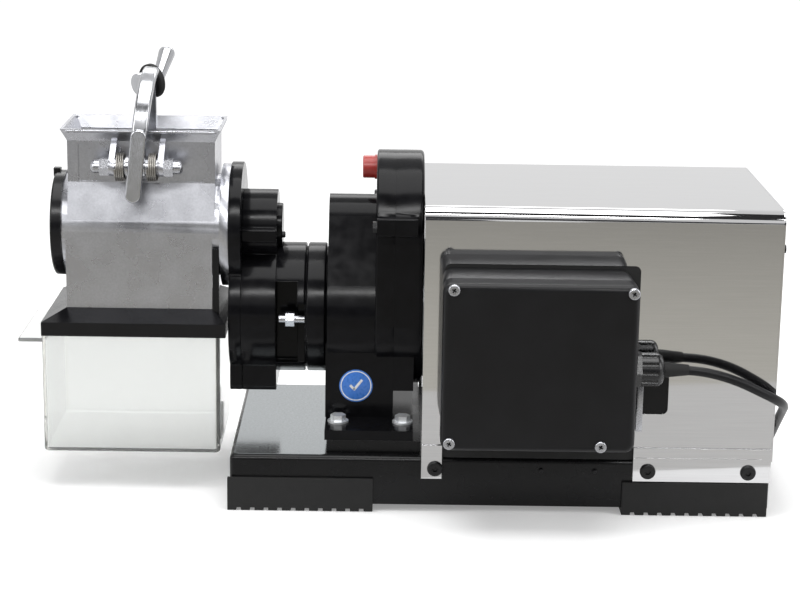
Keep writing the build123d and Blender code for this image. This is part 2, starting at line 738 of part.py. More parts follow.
def make_bearing_plate():
    section = lobe(REDUCER_HIGH_R, BIG_CASE_LOW_R - CASE_WALL - 0.1)
    plate = slab(section, PLATE_SEAT, PLATE_FACE)
    plate += rod_x(BEARING_X, PLATE_SEAT, BIG_BEARING_R + BOSS_WALL, AXIS_Y, LOW_Z)
    plate += rod_x(BEARING_X, PLATE_SEAT, SMALL_BEARING_R + BOSS_WALL, AXIS_Y, HIGH_Z)
    plate -= rod_x(BEARING_X - 1, BEARING_X + BEARING_LEN, BIG_BEARING_R + FIT, AXIS_Y, LOW_Z)
    plate -= rod_x(BEARING_X - 1, BEARING_X + BEARING_LEN, SMALL_BEARING_R + FIT, AXIS_Y, HIGH_Z)
    plate -= rod_x(BEARING_X, PLATE_FACE + 1, MID_SHAFT_R + 1, AXIS_Y, HIGH_Z)
    return plate


def bearing(x0, outer, shaft_r, z):
    return ring_x(x0, x0 + BEARING_LEN, outer, shaft_r + FIT, AXIS_Y, z)


def gearbox_bearings():
    wall = WALL_BOSS - BEARING_LEN
    return (
        bearing(wall, BIG_BEARING_R, OUTPUT_SHAFT_R, LOW_Z),
        bearing(wall, SMALL_BEARING_R, MID_SHAFT_R, HIGH_Z),
        bearing(BEARING_X, BIG_BEARING_R, OUTPUT_SHAFT_R, LOW_Z),
        bearing(BEARING_X, SMALL_BEARING_R, MID_SHAFT_R, HIGH_Z),
        bearing(COVER_INNER - BEARING_LEN, SMALL_BEARING_R, MID_SHAFT_R, HIGH_Z),
    )


def make_case_bolts():
    bolts = []
    for y, z in case_bolt_places():
        head = hex_x(STEP_X + 1 - 4.0, STEP_X + 1, 10.0, y, z)
        bolts.append(head + rod_x(STEP_X + 1, MOTOR_FACE - 7, CASE_BOLT_R, y, z))
    return group(*bolts)


def make_oil_plug():
    head_left = STEP_X - OIL_SEAL_LEN - OIL_PLUG_LEN
    head = rod_x(head_left, STEP_X - OIL_SEAL_LEN, OIL_PLUG_R, AXIS_Y, OIL_PLUG_Z)
    head = fillet(head.faces().sort_by(Axis.X)[0].edges(), 1.0)
    slot = block(head_left - 1, head_left + 2.5, AXIS_Y - 7, AXIS_Y + 7, OIL_PLUG_Z - 1, OIL_PLUG_Z + 1)
    plug = head + rod_x(STEP_X - OIL_SEAL_LEN, STEP_X + 4, 5.8, AXIS_Y, OIL_PLUG_Z) - slot
    seal = ring_x(STEP_X - OIL_SEAL_LEN, STEP_X, OIL_PLUG_R + 1, 5.9, AXIS_Y, OIL_PLUG_Z)
    return group(plug, seal)


# Shafts and gears
GEAR_LEFT = REDUCER_LEFT + 16.0
GEAR_RIGHT = BEARING_X - 2.0
CASE_GEAR_LEFT = CASE_LEFT + 2.5
CASE_WALL_IN = CASE_RIGHT - 5.5
CASE_BOSS = CASE_RIGHT - BEARING_LEN - 1.5
CASE_GEAR_RIGHT = CASE_BOSS - 1.5


def make_output_wheel():
    return gear(OUTPUT_TEETH, GEAR_LEFT, GEAR_RIGHT, LOW_Z, OUTPUT_SHAFT_R + FIT, 90)


def make_output_shaft():
    return rod_x(PLATE_LEFT + 4, BEARING_X + BEARING_LEN, OUTPUT_SHAFT_R, AXIS_Y, LOW_Z)


def make_mid_pinion_shaft():
    shaft = rod_x(WALL_BOSS - BEARING_LEN, COVER_INNER - 0.2, MID_SHAFT_R, AXIS_Y, HIGH_Z)
    angle = gap_towards(MID_PINION_TEETH, -90)
    return shaft + gear(MID_PINION_TEETH, GEAR_LEFT, GEAR_RIGHT, HIGH_Z, MID_SHAFT_R / 2, angle)


def make_mid_wheel():
    return gear(MID_WHEEL_TEETH, WHEEL_LEFT, WHEEL_RIGHT, HIGH_Z, MID_SHAFT_R + FIT, -90)


def make_input_gear():
    return gear(INPUT_TEETH, CASE_GEAR_LEFT, CASE_GEAR_RIGHT, LOW_Z, OUTPUT_SHAFT_R + FIT, 90)


def make_drum_gear():
    angle = gap_towards(DRUM_TEETH, -90)
    return gear(DRUM_TEETH, CASE_GEAR_LEFT, CASE_GEAR_RIGHT, HIGH_Z, DRUM_SHAFT_R + FIT, angle)


# Neck between the gearbox and the grating head
def make_gearbox_neck():
    neck = rod_x(NECK_LEFT, NECK_RIGHT, NECK_R, AXIS_Y, LOW_Z)
    neck = chamfer(neck.edges().filter_by(GeomType.CIRCLE), 1.0)
    neck += rod_x(RING_RIGHT, NECK_LEFT, GROOVE_R, AXIS_Y, LOW_Z)
    neck += rod_x(NECK_RIGHT, REDUCER_LEFT, GROOVE_R, AXIS_Y, LOW_Z)
    neck -= rod_x(RING_RIGHT - 1, REDUCER_LEFT + 1, NECK_BORE_R, AXIS_Y, LOW_Z)
    for y in (AXIS_Y - STUD_PITCH_R, AXIS_Y + STUD_PITCH_R):
        neck -= rod_x(RING_RIGHT - 1, RING_RIGHT + 12, STUD_R + FIT, y, LOW_Z)
    return neck


def make_coupling_ring():
    ring = rod_x(CASE_RIGHT, RING_RIGHT, NECK_R, AXIS_Y, LOW_Z)
    ring = chamfer(ring.faces().sort_by(Axis.X)[-1].edges(), 1.0)
    ring -= rod_x(CASE_RIGHT - 1, RING_RIGHT + 1, RING_BORE_R, AXIS_Y, LOW_Z)
    ring -= rod_x(CASE_RIGHT - 1, CASE_RIGHT + CAP_THICK + SLIP, CAP_R + SLIP, AXIS_Y, HIGH_Z)
    front = AXIS_Y - NECK_R - 1
    high = block(
        CASE_RIGHT - 1, CASE_RIGHT + WINDOW_STEP_LEN, front, front + WINDOW_DEPTH, WINDOW_LOW_Z, WINDOW_HIGH_Z
    )
    low = block(
        CASE_RIGHT - 1, RING_RIGHT + 1, front, front + WINDOW_DEPTH - 8, WINDOW_LOW_Z, WINDOW_STEP_Z
    )
    window = high + low
    return ring - window - mirrored(window)


def make_coupling_studs():
    studs = []
    left = RING_RIGHT + 11 - STUD_LEN
    for y in (AXIS_Y - STUD_PITCH_R, AXIS_Y + STUD_PITCH_R):
        studs.append(rod_x(left, RING_RIGHT + 11, STUD_R, y, LOW_Z))
        nut_left = left + STUD_END
        nut = hex_x(nut_left, nut_left + STUD_NUT_LEN, STUD_NUT_FLATS, y, LOW_Z)
        studs.append(nut - rod_x(nut_left - 1, nut_left + STUD_NUT_LEN + 1, STUD_R + FIT, y, LOW_Z))
    return group(*studs)


# Gear case of the grating head
def head_case_lug(x0, x1):
    half = GRATER_LUG_WIDTH / 2
    lug = block(x0, x1, AXIS_Y - half, AXIS_Y + half, GRATER_LUG_BOTTOM, LOW_Z)
    return fillet(lug.faces().sort_by(Axis.Z)[0].edges().filter_by(Axis.X), 6.0)


def make_grater_gear_case():
    case = rod_x(CASE_LEFT, CASE_RIGHT, GRATER_CASE_HIGH_R, AXIS_Y, HIGH_Z)
    case += rod_x(CASE_LEFT, CASE_RIGHT, GRATER_CASE_LOW_R, AXIS_Y, LOW_Z)
    case += head_case_lug(CASE_LEFT, CASE_RIGHT)
    ear = block(CASE_LEFT, CASE_RIGHT, AXIS_Y - GRATER_CASE_HIGH_R - 8, AXIS_Y, HIGH_Z - 9, HIGH_Z + 4)
    ear = fillet(ear.edges().filter_by(Axis.X), 2.0)
    case += ear + mirrored(ear)
    low_hollow = INPUT_TEETH * GEAR_MODULE / 2 + GEAR_MODULE
    high_hollow = DRUM_TEETH * GEAR_MODULE / 2 + GEAR_MODULE
    case -= rod_x(CASE_LEFT - 1, CASE_WALL_IN, low_hollow, AXIS_Y, LOW_Z)
    case -= rod_x(CASE_LEFT - 1, CASE_WALL_IN, high_hollow, AXIS_Y, HIGH_Z)
    case += rod_x(CASE_BOSS, CASE_WALL_IN, BIG_BEARING_R + BOSS_WALL, AXIS_Y, LOW_Z)
    case += rod_x(CASE_BOSS, CASE_WALL_IN, BIG_BEARING_R + BOSS_WALL, AXIS_Y, HIGH_Z)
    for z in (LOW_Z, HIGH_Z):
        case -= rod_x(CASE_BOSS - 1, CASE_BOSS + BEARING_LEN, BIG_BEARING_R + FIT, AXIS_Y, z)
    case -= rod_x(CASE_BOSS, CASE_RIGHT + 1, OUTPUT_SHAFT_R + 1, AXIS_Y, LOW_Z)
    return case


def make_head_plate():
    plate = rod_x(PLATE_LEFT, CASE_LEFT, PLATE_HIGH_R, AXIS_Y, HIGH_Z)
    plate += rod_x(PLATE_LEFT, CASE_LEFT, GRATER_CASE_LOW_R, AXIS_Y, LOW_Z)
    plate += head_case_lug(PLATE_LEFT, CASE_LEFT)
    pocket = CASE_LEFT - BEARING_LEN
    plate -= rod_x(pocket, CASE_LEFT + 1, BIG_BEARING_R + FIT, AXIS_Y, HIGH_Z)
    plate -= rod_x(pocket, CASE_LEFT + 1, BIG_BEARING_R + FIT, AXIS_Y, LOW_Z)
    plate -= rod_x(PLATE_LEFT - 1, pocket + 1, DRUM_SHAFT_R + 1, AXIS_Y, HIGH_Z)
    plate -= rod_x(PLATE_LEFT + 1, pocket + 1, OUTPUT_SHAFT_R + 1, AXIS_Y, LOW_Z)
    return plate


def head_bearings():
    left = CASE_LEFT - BEARING_LEN
    return (
        bearing(left, BIG_BEARING_R, OUTPUT_SHAFT_R, LOW_Z),
        bearing(left, BIG_BEARING_R, DRUM_SHAFT_R, HIGH_Z),
        bearing(CASE_BOSS, BIG_BEARING_R, OUTPUT_SHAFT_R, LOW_Z),
        bearing(CASE_BOSS, BIG_BEARING_R, DRUM_SHAFT_R, HIGH_Z),
    )


def make_bearing_cap():
    cap = rod_x(CASE_RIGHT, CASE_RIGHT + CAP_THICK, CAP_R, AXIS_Y, HIGH_Z)
    return fillet(cap.faces().sort_by(Axis.X)[-1].edges(), 1.2)


# Grating head
FLANGE_LEFT = PLATE_LEFT - FLANGE_LEN
CHUTE_FRONT = AXIS_Y - HOUSING_R
CHUTE_BACK = AXIS_Y + HOUSING_R


def rectangle_at(x0, x1, y0, y1, z):
    return Pos((x0 + x1) / 2, (y0 + y1) / 2, z) * Rectangle(x1 - x0, y1 - y0)


def hopper_shape(inset, bottom):
    left, right = HOPPER_LEFT + inset, HOPPER_RIGHT - inset
    front, back = HOPPER_FRONT + inset, HOPPER_BACK - inset
    neck_z = HOPPER_TOP - RIM_DROP
    lower = block(left, right, front, back, bottom, neck_z)
    top = rectangle_at(
        left - RIM_FLARE, right + RIM_FLARE, front - RIM_FLARE, back + RIM_FLARE, HOPPER_TOP
    )
    return lower + loft([rectangle_at(left, right, front, back, neck_z), top])


def lever_ear(x0):
    side = Pos(PIVOT_Y, PIVOT_Z) * Circle(EAR_R)
    side += make_face(
        Polyline(
            (PIVOT_Y - EAR_R * 0.6, PIVOT_Z + EAR_R * 0.8),
            (HOPPER_FRONT + 1, EAR_TOP_Z),
            (HOPPER_FRONT + 1, PIVOT_Z - EAR_R - 4),
            (PIVOT_Y, PIVOT_Z - EAR_R),
            close=True,
        )
    )
    return slab(side, x0, x0 + EAR_THICK) - rod_x(x0 - 1, x0 + EAR_THICK + 1, PIN_R + FIT, PIVOT_Y, PIVOT_Z)


def saddle(edge_y, side):
    reach = sqrt((edge_y - AXIS_Y) ** 2 + (SADDLE_Z - HIGH_Z) ** 2)
    angle = atan2(SADDLE_Z - HIGH_Z, edge_y - AXIS_Y) + side * acos(HOUSING_R / reach)
    touch = (AXIS_Y + HOUSING_R * cos(angle), HIGH_Z + HOUSING_R * sin(angle))
    section = Polyline((edge_y, SADDLE_Z), touch, (AXIS_Y, HIGH_Z), (AXIS_Y, SADDLE_Z), close=True)
    return slab(make_face(section), HOPPER_LEFT, HOPPER_RIGHT)


def make_grater_body():
    body = rod_x(HOUSING_LEFT, FLANGE_LEFT, HOUSING_R, AXIS_Y, HIGH_Z)
    body += rod_x(FLANGE_LEFT, PLATE_LEFT, FLANGE_R, AXIS_Y, HIGH_Z)
    body += block(CHUTE_LEFT, CHUTE_RIGHT, CHUTE_FRONT, CHUTE_BACK, CHUTE_BOTTOM, HIGH_Z)
    body += hopper_shape(0, HIGH_Z + 20)
    body += saddle(HOPPER_FRONT, 1) + saddle(HOPPER_BACK, -1)
    for x in EAR_X:
        body += lever_ear(x)
    body -= block(
        HOPPER_LEFT + PANEL_MARGIN,
        HOPPER_RIGHT - PANEL_MARGIN,
        HOPPER_FRONT - 0.001,
        HOPPER_FRONT + PANEL_DEPTH,
        PANEL_BOTTOM,
        PANEL_TOP,
    ) - block(EAR_X[0] - 2, EAR_X[1] + EAR_THICK + 2, HOPPER_FRONT - 1, HOPPER_BACK, 0, HOPPER_TOP)
    body -= rod_x(HOUSING_LEFT - 1, PLATE_LEFT + 1, HOUSING_BORE_R, AXIS_Y, HIGH_Z)
    body -= block(
        CHUTE_LEFT + CHUTE_WALL,
        CHUTE_RIGHT - CHUTE_WALL,
        CHUTE_FRONT + CHUTE_WALL,
        CHUTE_BACK - CHUTE_WALL,
        CHUTE_BOTTOM - 1,
        HIGH_Z,
    )
    body -= hopper_shape(HOPPER_WALL, HIGH_Z + 12)
    return body


def make_drum_end_cap():
    left = HOUSING_LEFT - END_CAP_THICK
    cap = rod_x(left, HOUSING_LEFT, END_CAP_R, AXIS_Y, HIGH_Z)
    cap = fillet(cap.faces().sort_by(Axis.X)[0].edges(), 2.0)
    cap += rod_x(HOUSING_LEFT, HOUSING_LEFT + END_CAP_SPIGOT, HOUSING_BORE_R - 0.1, AXIS_Y, HIGH_Z)
    cap += ring_x(HOUSING_LEFT, HOUSING_LEFT + END_CAP_SKIRT, END_CAP_R, HOUSING_R + FIT, AXIS_Y, HIGH_Z)
    cap += block(
        left - 2,
        HOUSING_LEFT,
        AXIS_Y - KNOB_SIZE / 2,
        AXIS_Y + KNOB_SIZE / 2,
        HIGH_Z + END_CAP_R - 5,
        HIGH_Z + END_CAP_R + 3,
    )
    cap -= block(
        left - 1,
        HOUSING_LEFT + END_CAP_SKIRT + 1,
        AXIS_Y - END_CAP_NOTCH / 2,
        AXIS_Y + END_CAP_NOTCH / 2,
        HIGH_Z - END_CAP_R - 1,
        HIGH_Z - HOUSING_R - FIT,
    )
    cap -= rod_x(left + 2, HOUSING_LEFT + END_CAP_SPIGOT + 1, BUSH_R + FIT, AXIS_Y, HIGH_Z)
    return cap


def drum_bush():
    x0 = HOUSING_LEFT - END_CAP_THICK + 2
    return ring_x(x0, HOUSING_LEFT + END_CAP_SPIGOT, BUSH_R, DRUM_SHAFT_R + FIT, AXIS_Y, HIGH_Z)


def make_drum_shaft():
    x0 = HOUSING_LEFT - END_CAP_THICK + 3
    return rod_x(x0, CASE_BOSS + BEARING_LEN, DRUM_SHAFT_R, AXIS_Y, HIGH_Z)


# Drum with raised rasp teeth in staggered rows
def make_grating_drum():
    drum = rod_x(DRUM_LEFT, DRUM_RIGHT, DRUM_R, AXIS_Y, HIGH_Z)
    drum -= rod_x(DRUM_LEFT + DRUM_DISC, DRUM_RIGHT - DRUM_DISC, DRUM_R - DRUM_WALL, AXIS_Y, HIGH_Z)
    pitch = (DRUM_RIGHT - DRUM_LEFT - 2 * DRUM_DISC) / TOOTH_ROWS
    base = Plane.XY.offset(DRUM_R - 0.4) * Rectangle(TOOTH_SIZE, TOOTH_SIZE)
    tip = Plane.XY.offset(DRUM_R + TOOTH_HEIGHT) * (Pos(0, TOOTH_SIZE / 3) * Rectangle(1.2, 0.6))
    tooth = loft([base, tip])
    teeth = []
    for row in range(TOOTH_ROWS):
        x = DRUM_LEFT + DRUM_DISC + (row + 0.5) * pitch
        for i in range(TEETH_AROUND):
            turn = 360 * (i + row / 3) / TEETH_AROUND
            teeth.append(Pos(x, AXIS_Y, HIGH_Z) * Rot(turn, 0, 0) * tooth)
    drum = drum + teeth
    return drum - rod_x(DRUM_LEFT - 1, DRUM_RIGHT + 1, DRUM_SHAFT_R + FIT, AXIS_Y, HIGH_Z)


# Collar under the chute, with the rails that carry the bin
COLLAR_FRONT = AXIS_Y - COLLAR_DEPTH / 2
COLLAR_BACK = AXIS_Y + COLLAR_DEPTH / 2


def make_bin_collar():
    def hood(inset):
        low = rectangle_at(
            COLLAR_LEFT + inset,
            COLLAR_RIGHT - inset,
            COLLAR_FRONT + inset,
            COLLAR_BACK - inset,
            COLLAR_SHOULDER,
        )
        high = rectangle_at(
            CHUTE_LEFT + inset,
            CHUTE_RIGHT - inset,
            CHUTE_FRONT + inset,
            CHUTE_BACK - inset,
            COLLAR_TOP,
        )
        skirt = block(
            COLLAR_LEFT + inset,
            COLLAR_RIGHT - inset,
            COLLAR_FRONT + inset,
            COLLAR_BACK - inset,
            COLLAR_BOTTOM - inset / 2,
            COLLAR_SHOULDER,
        )
        return skirt + loft([low, high])

    collar = hood(0) - Pos(0, 0, -COLLAR_SKIN) * hood(COLLAR_SKIN)
    collar -= block(
        CHUTE_LEFT - SLIP,
        CHUTE_RIGHT + SLIP,
        CHUTE_FRONT - SLIP,
        CHUTE_BACK + SLIP,
        COLLAR_BOTTOM - 1,
        COLLAR_TOP + 1,
    )
    stay = CHUTE_RIGHT + 0.8
    collar += block(
        stay, stay + STAY_WIDTH, CHUTE_FRONT - SLIP - STAY_THICK, CHUTE_FRONT - SLIP, COLLAR_TOP - 5, STAY_TOP
    )
    rail_in = BIN_DEPTH / 2 + SLIP
    for y0, y1 in (
        (COLLAR_FRONT + 1, AXIS_Y - rail_in),
        (AXIS_Y + rail_in, COLLAR_BACK - 1),
    ):
        collar += block(
            COLLAR_LEFT, COLLAR_RIGHT - 1, y0, y1, COLLAR_BOTTOM, COLLAR_BOTTOM + RAIL_THICK
        )
    collar -= block(
        COLLAR_LEFT - 1,
        COLLAR_LEFT + 6,
        AXIS_Y - rail_in - 2.6,
        AXIS_Y + rail_in + 2.6,
        COLLAR_BOTTOM + RAIL_THICK,
        COLLAR_BOTTOM + RAIL_THICK + LIP_THICK + 1.5,
    )
    collar -= block(
        COLLAR_LEFT - 1,
        COLLAR_LEFT + 6,
        AXIS_Y - rail_in,
        AXIS_Y + rail_in,
        COLLAR_BOTTOM - 1,
        COLLAR_BOTTOM + RAIL_THICK + LIP_THICK + 1.5,
    )
    return collar


def make_bin():
    lip_low = COLLAR_BOTTOM + RAIL_THICK + RAIL_GAP
    lip_high = lip_low + LIP_THICK
    front = AXIS_Y - BIN_DEPTH / 2
    back = AXIS_Y + BIN_DEPTH / 2
    outer = block(BIN_LEFT, BIN_RIGHT, front, back, BIN_BOTTOM, lip_high)
    outer = fillet(outer.edges().filter_by(Axis.Z), BIN_CORNER)
    outer = fillet(outer.faces().sort_by(Axis.Z)[0].edges(), 3.0)
    inner = block(
        BIN_LEFT + BIN_WALL,
        BIN_RIGHT - BIN_WALL,
        front + BIN_WALL,
        back - BIN_WALL,
        BIN_BOTTOM + BIN_WALL,
        lip_high + 1,
    )
    inner = fillet(inner.edges().filter_by(Axis.Z), BIN_CORNER - BIN_WALL)
    tub = outer - inner
    for y0, y1 in ((front - LIP_REACH, front + 1), (back - 1, back + LIP_REACH)):
        tub += block(BIN_LEFT + BIN_CORNER, BIN_RIGHT - BIN_CORNER, y0, y1, lip_low, lip_high)
    tub += block(
        BIN_LEFT - TAB_REACH, BIN_LEFT + 1, front + BIN_CORNER, back - BIN_CORNER, TAB_Z, TAB_Z + TAB_THICK
    )
    return tub


# Press lever, a bent bar that leans towards the motor
UPWARD = (Align.CENTER, Align.CENTER, Align.MIN)


def unit_turn(turn):
    length = sqrt(sum(part**2 for part in turn))
    return [part / length for part in turn]


def head_plane(along):
    turn = unit_turn(RING_TURN)
    origin = (HEAD_X + along * turn[0], HEAD_Y + along * turn[1], HEAD_Z + along * turn[2])
    return Plane(origin=origin, z_dir=turn)


def make_press_lever():
    x0 = LEVER_X - LEVER_WIDTH / 2
    x1 = LEVER_X + LEVER_WIDTH / 2
    strip_section = Pos(LEVER_X, (STRIP_LOW_Z + STRIP_HIGH_Z) / 2) * SlotOverall(
        STRIP_HIGH_Z - STRIP_LOW_Z, LEVER_WIDTH, rotation=90
    )
    strip = extrude(Plane.XZ.offset(-STRIP_FRONT) * strip_section, amount=STRIP_DEPTH, dir=(0, 1, 0))
    strip = fillet(strip.edges(), 2.0)
    inner, outer = ARM_R - ARM_DEPTH / 2, ARM_R + ARM_DEPTH / 2

    def on_arc(radius, angle):
        return (
            ARM_CENTRE_Y + radius * cos(radians(angle)),
            ARM_CENTRE_Z + radius * sin(radians(angle)),
        )

    middle = (180 + ARM_END_ANGLE) / 2
    arm_section = make_face(
        [
            ThreePointArc(on_arc(outer, 180), on_arc(outer, middle), on_arc(outer, ARM_END_ANGLE)),
            Line(on_arc(outer, ARM_END_ANGLE), on_arc(inner, ARM_END_ANGLE)),
            ThreePointArc(on_arc(inner, ARM_END_ANGLE), on_arc(inner, middle), on_arc(inner, 180)),
            Line(on_arc(inner, 180), (on_arc(inner, 180)[0], PIVOT_Z)),
            Line((on_arc(inner, 180)[0], PIVOT_Z), (on_arc(outer, 180)[0], PIVOT_Z)),
            Line((on_arc(outer, 180)[0], PIVOT_Z), on_arc(outer, 180)),
        ]
    )
    arm = slab(arm_section, x0, x1)
    arm = fillet(arm.edges().filter_by(GeomType.CIRCLE), 3.0)
    lean = Pos(LEVER_X, 0, LEAN_FROM_Z) * Rot(0, LEVER_LEAN, 0) * Pos(-LEVER_X, 0, -LEAN_FROM_Z)
    hub = rod_x(HUB_LEFT, HUB_RIGHT, LEVER_HUB_R, PIVOT_Y, PIVOT_Z)
    head = head_plane(0) * Cylinder(HEAD_R, HEAD_LEN, align=(Align.CENTER, Align.CENTER, Align.MAX))
    leg = block(
        LEG_X - LEG_SIZE / 2,
        LEG_X + LEG_SIZE / 2,
        LEG_Y - LEG_SIZE / 2,
        LEG_Y + LEG_SIZE / 2,
        PRESS_TOP,
        HEAD_Z,
    )
    lever = lean * (strip + arm) + hub + head + leg
    lever -= head_plane(0) * Cylinder(GRIP_RING_R + 8, GRIP_LEN, align=UPWARD)
    return lever - rod_x(HUB_LEFT - 5, HUB_RIGHT + 5, PIN_R + FIT, PIVOT_Y, PIVOT_Z)


def make_grip_ring():
    ring = head_plane(0) * Cylinder(GRIP_RING_R, GRIP_RING_LEN, align=UPWARD)
    ring = fillet(ring.edges().filter_by(GeomType.CIRCLE), 2.0)
    return ring - head_plane(-1) * Cylinder(GRIP_NECK_R + FIT, GRIP_RING_LEN + 2, align=UPWARD)


def make_grip():
    knee = head_plane(GRIP_STUB).origin
    handle = Plane(origin=knee, z_dir=GRIP_TURN)
    grip = head_plane(0) * Cylinder(GRIP_NECK_R, GRIP_STUB, align=UPWARD)
    grip += Pos(*knee) * Sphere(GRIP_NECK_R + 0.1)
    grip += handle * Cone(GRIP_NECK_R, GRIP_R, GRIP_LEN, align=UPWARD)
    return grip + handle * Pos(0, 0, GRIP_LEN) * Sphere(GRIP_R + 0.05)


def make_press_block():
    press = block(PRESS_LEFT, PRESS_RIGHT, PRESS_FRONT, PRESS_BACK, HIGH_Z + 20, PRESS_TOP)
    press = fillet(press.edges().filter_by(Axis.Z), 4.0)
    return press - rod_x(PRESS_LEFT - 1, PRESS_RIGHT + 1, PRESS_HOLLOW_R, AXIS_Y, HIGH_Z)


def make_pivot_pin():
    return rod_x(PIN_LEFT, PIN_RIGHT, PIN_R, PIVOT_Y, PIVOT_Z)


def make_acorn_nuts():
    left_face = EAR_X[0]
    right_face = EAR_X[1] + EAR_THICK

    def nut(x0, x1, dome_x, tip):
        body = hex_x(x0, x1, NUT_FLATS, PIVOT_Y, PIVOT_Z)
        reach = min(dome_x, tip), max(dome_x, tip)
        dome = rod_x(reach[0], reach[1], NUT_FLATS / 2 - 1.5, PIVOT_Y, PIVOT_Z)
        end = dome.faces().sort_by(Axis.X)[0 if tip < dome_x else -1]
        dome = fillet(end.edges(), 4.5)
        return body + dome

    hole_left = rod_x(PIN_LEFT - FIT, left_face + 1, PIN_R + FIT, PIVOT_Y, PIVOT_Z)
    hole_right = rod_x(right_face - 1, PIN_RIGHT + FIT, PIN_R + FIT, PIVOT_Y, PIVOT_Z)
    left = nut(left_face - 9, left_face, left_face - 9, left_face - NUT_LEFT_LEN) - hole_left
    right = nut(right_face, right_face + 9, right_face + 9, right_face + NUT_RIGHT_LEN) - hole_right
    return group(left, right)


def spring_spans():
    return (EAR_X[0] + EAR_THICK, HUB_LEFT - SLIP), (HUB_RIGHT + SLIP, EAR_X[1])


def make_spring_sleeves():
    return group(*[ring_x(a, b, SLEEVE_R, PIN_R + FIT, PIVOT_Y, PIVOT_Z) for a, b in spring_spans()])


def make_lever_springs():
    left, right = spring_spans()
    return group(
        ring_x(left[0], left[0] + SPRING_LENGTHS[0], SPRING_R, SPRING_BORE_R, PIVOT_Y, PIVOT_Z),
        ring_x(right[1] - SPRING_LENGTHS[1], right[1], SPRING_R, SPRING_BORE_R, PIVOT_Y, PIVOT_Z),
    )


# Switch box
BOX_BACK = WALL_FRONT
GLAND_Y = BOX_BACK - GLAND_INSET
JOINT_Y = BOX_BACK - BODY_DEPTH
LID_FRONT = JOINT_Y - LID_DEPTH


def box_section(inset, corner):
    middle_x = (BOX_LEFT + BOX_RIGHT) / 2
    middle_z = (BOX_LOW_Z + BOX_HIGH_Z) / 2
    return Pos(middle_x, middle_z) * RectangleRounded(
        BOX_RIGHT - BOX_LEFT - 2 * inset, BOX_HIGH_Z - BOX_LOW_Z - 2 * inset, corner
    )


def at_y(section, y):
    return Plane.XZ.offset(-y) * section


def lid_posts(y0, y1, radius):
    return [rod_y(y0, y1, radius, x, z) for x, z in LID_SCREWS]


def make_switch_box_body():
    outer = loft([at_y(box_section(BOX_DRAFT, BOX_CORNER), BOX_BACK), at_y(box_section(0, BOX_CORNER), JOINT_Y)])
    inner = extrude(
        at_y(box_section(BOX_DRAFT + BOX_WALL, BOX_CORNER - BOX_WALL), BOX_BACK - BOX_WALL),
        amount=BODY_DEPTH,
        dir=(0, -1, 0),
    )
    body = outer - inner
    posts = lid_posts(JOINT_Y, BOX_BACK - 1, POST_R)
    body += [post & outer for post in posts]
    body -= lid_posts(JOINT_Y - 1, JOINT_Y + LID_SCREW_LEN, LID_SCREW_R + BOLT_PLAY)
    return body - rod_x(BOX_RIGHT - 12, BOX_RIGHT + 5, GLAND_THREAD_R + BOLT_PLAY, GLAND_Y, GLAND_Z)


def make_switch_box_lid():
    outer = extrude(at_y(box_section(0, BOX_CORNER), JOINT_Y), amount=LID_DEPTH, dir=(0, -1, 0))
    outer = fillet(outer.faces().sort_by(Axis.Y)[0].edges(), LID_EDGE)
    inner = extrude(
        at_y(box_section(BOX_WALL, BOX_CORNER - BOX_WALL), JOINT_Y + 1),
        amount=LID_DEPTH - BOX_WALL + 1,
        dir=(0, -1, 0),
    )
    lid = outer - inner
    lid += [post & outer for post in lid_posts(LID_FRONT + 1, JOINT_Y, POST_R)]
    return lid - lid_posts(LID_FRONT - 1, JOINT_Y + 1, LID_SCREW_R + BOLT_PLAY)


def make_lid_screws():
    screws = []
    for x, z in LID_SCREWS:
        head = rod_y(LID_FRONT - LID_SCREW_HEAD, LID_FRONT, LID_SCREW_HEAD_R, x, z)
        head = fillet(head.faces().sort_by(Axis.Y)[0].edges(), 1.6)
        for width, height in ((5.0, 1.1), (1.1, 5.0)):
            head -= Pos(x, LID_FRONT - LID_SCREW_HEAD, z) * Box(width, 2.4, height)
        screws.append(head + rod_y(LID_FRONT, JOINT_Y + LID_SCREW_LEN - 1, LID_SCREW_R, x, z))
    return group(*screws)


def make_box_gasket():
    y0 = WALL_FRONT
    section = Pos((NOTCH_LEFT + NOTCH_RIGHT) / 2, (NOTCH_TOP + BASE_TOP) / 2) * RectangleRounded(
        NOTCH_RIGHT - NOTCH_LEFT - 2 * SLIP, NOTCH_TOP - BASE_TOP - 2 * SLIP, NOTCH_CORNER - SLIP
    )
    return extrude(at_y(section, y0), amount=COVER_SHEET, dir=(0, 1, 0))


def make_box_bracket():
    y0 = WALL_FRONT + COVER_SHEET
    plate = block(
        NOTCH_LEFT - BRACKET_MARGIN,
        WINDOW_RIGHT + BRACKET_MARGIN,
        y0,
        y0 + BRACKET_SHEET,
        BASE_TOP,
        NOTCH_TOP + BRACKET_MARGIN,
    )
    foot = block(
        NOTCH_LEFT - BRACKET_MARGIN,
        WINDOW_RIGHT + BRACKET_MARGIN,
        y0,
        y0 + BRACKET_FOOT,
        BASE_TOP,
        BASE_TOP + BRACKET_SHEET,
    )
    return plate + foot


def make_capacitor():
    y = BOX_BACK - BOX_WALL - CAPACITOR_R
    x0 = BOX_LEFT + 24
    return rod_x(x0, x0 + CAPACITOR_LEN, CAPACITOR_R, y, BOX_HIGH_Z - 46)


def make_terminal_block():
    back = BOX_BACK - BOX_WALL
    x0 = BOX_LEFT + 60
    strip = block(x0, x0 + TERMINAL_LEN, back - 20, back, BOX_LOW_Z + 40, BOX_LOW_Z + 60)
    count = 6
    pitch = TERMINAL_LEN / count
    for i in range(count):
        strip -= rod_y(back - 21, back - 14, 2.6, x0 + (i + 0.5) * pitch, BOX_LOW_Z + 50)
    return strip


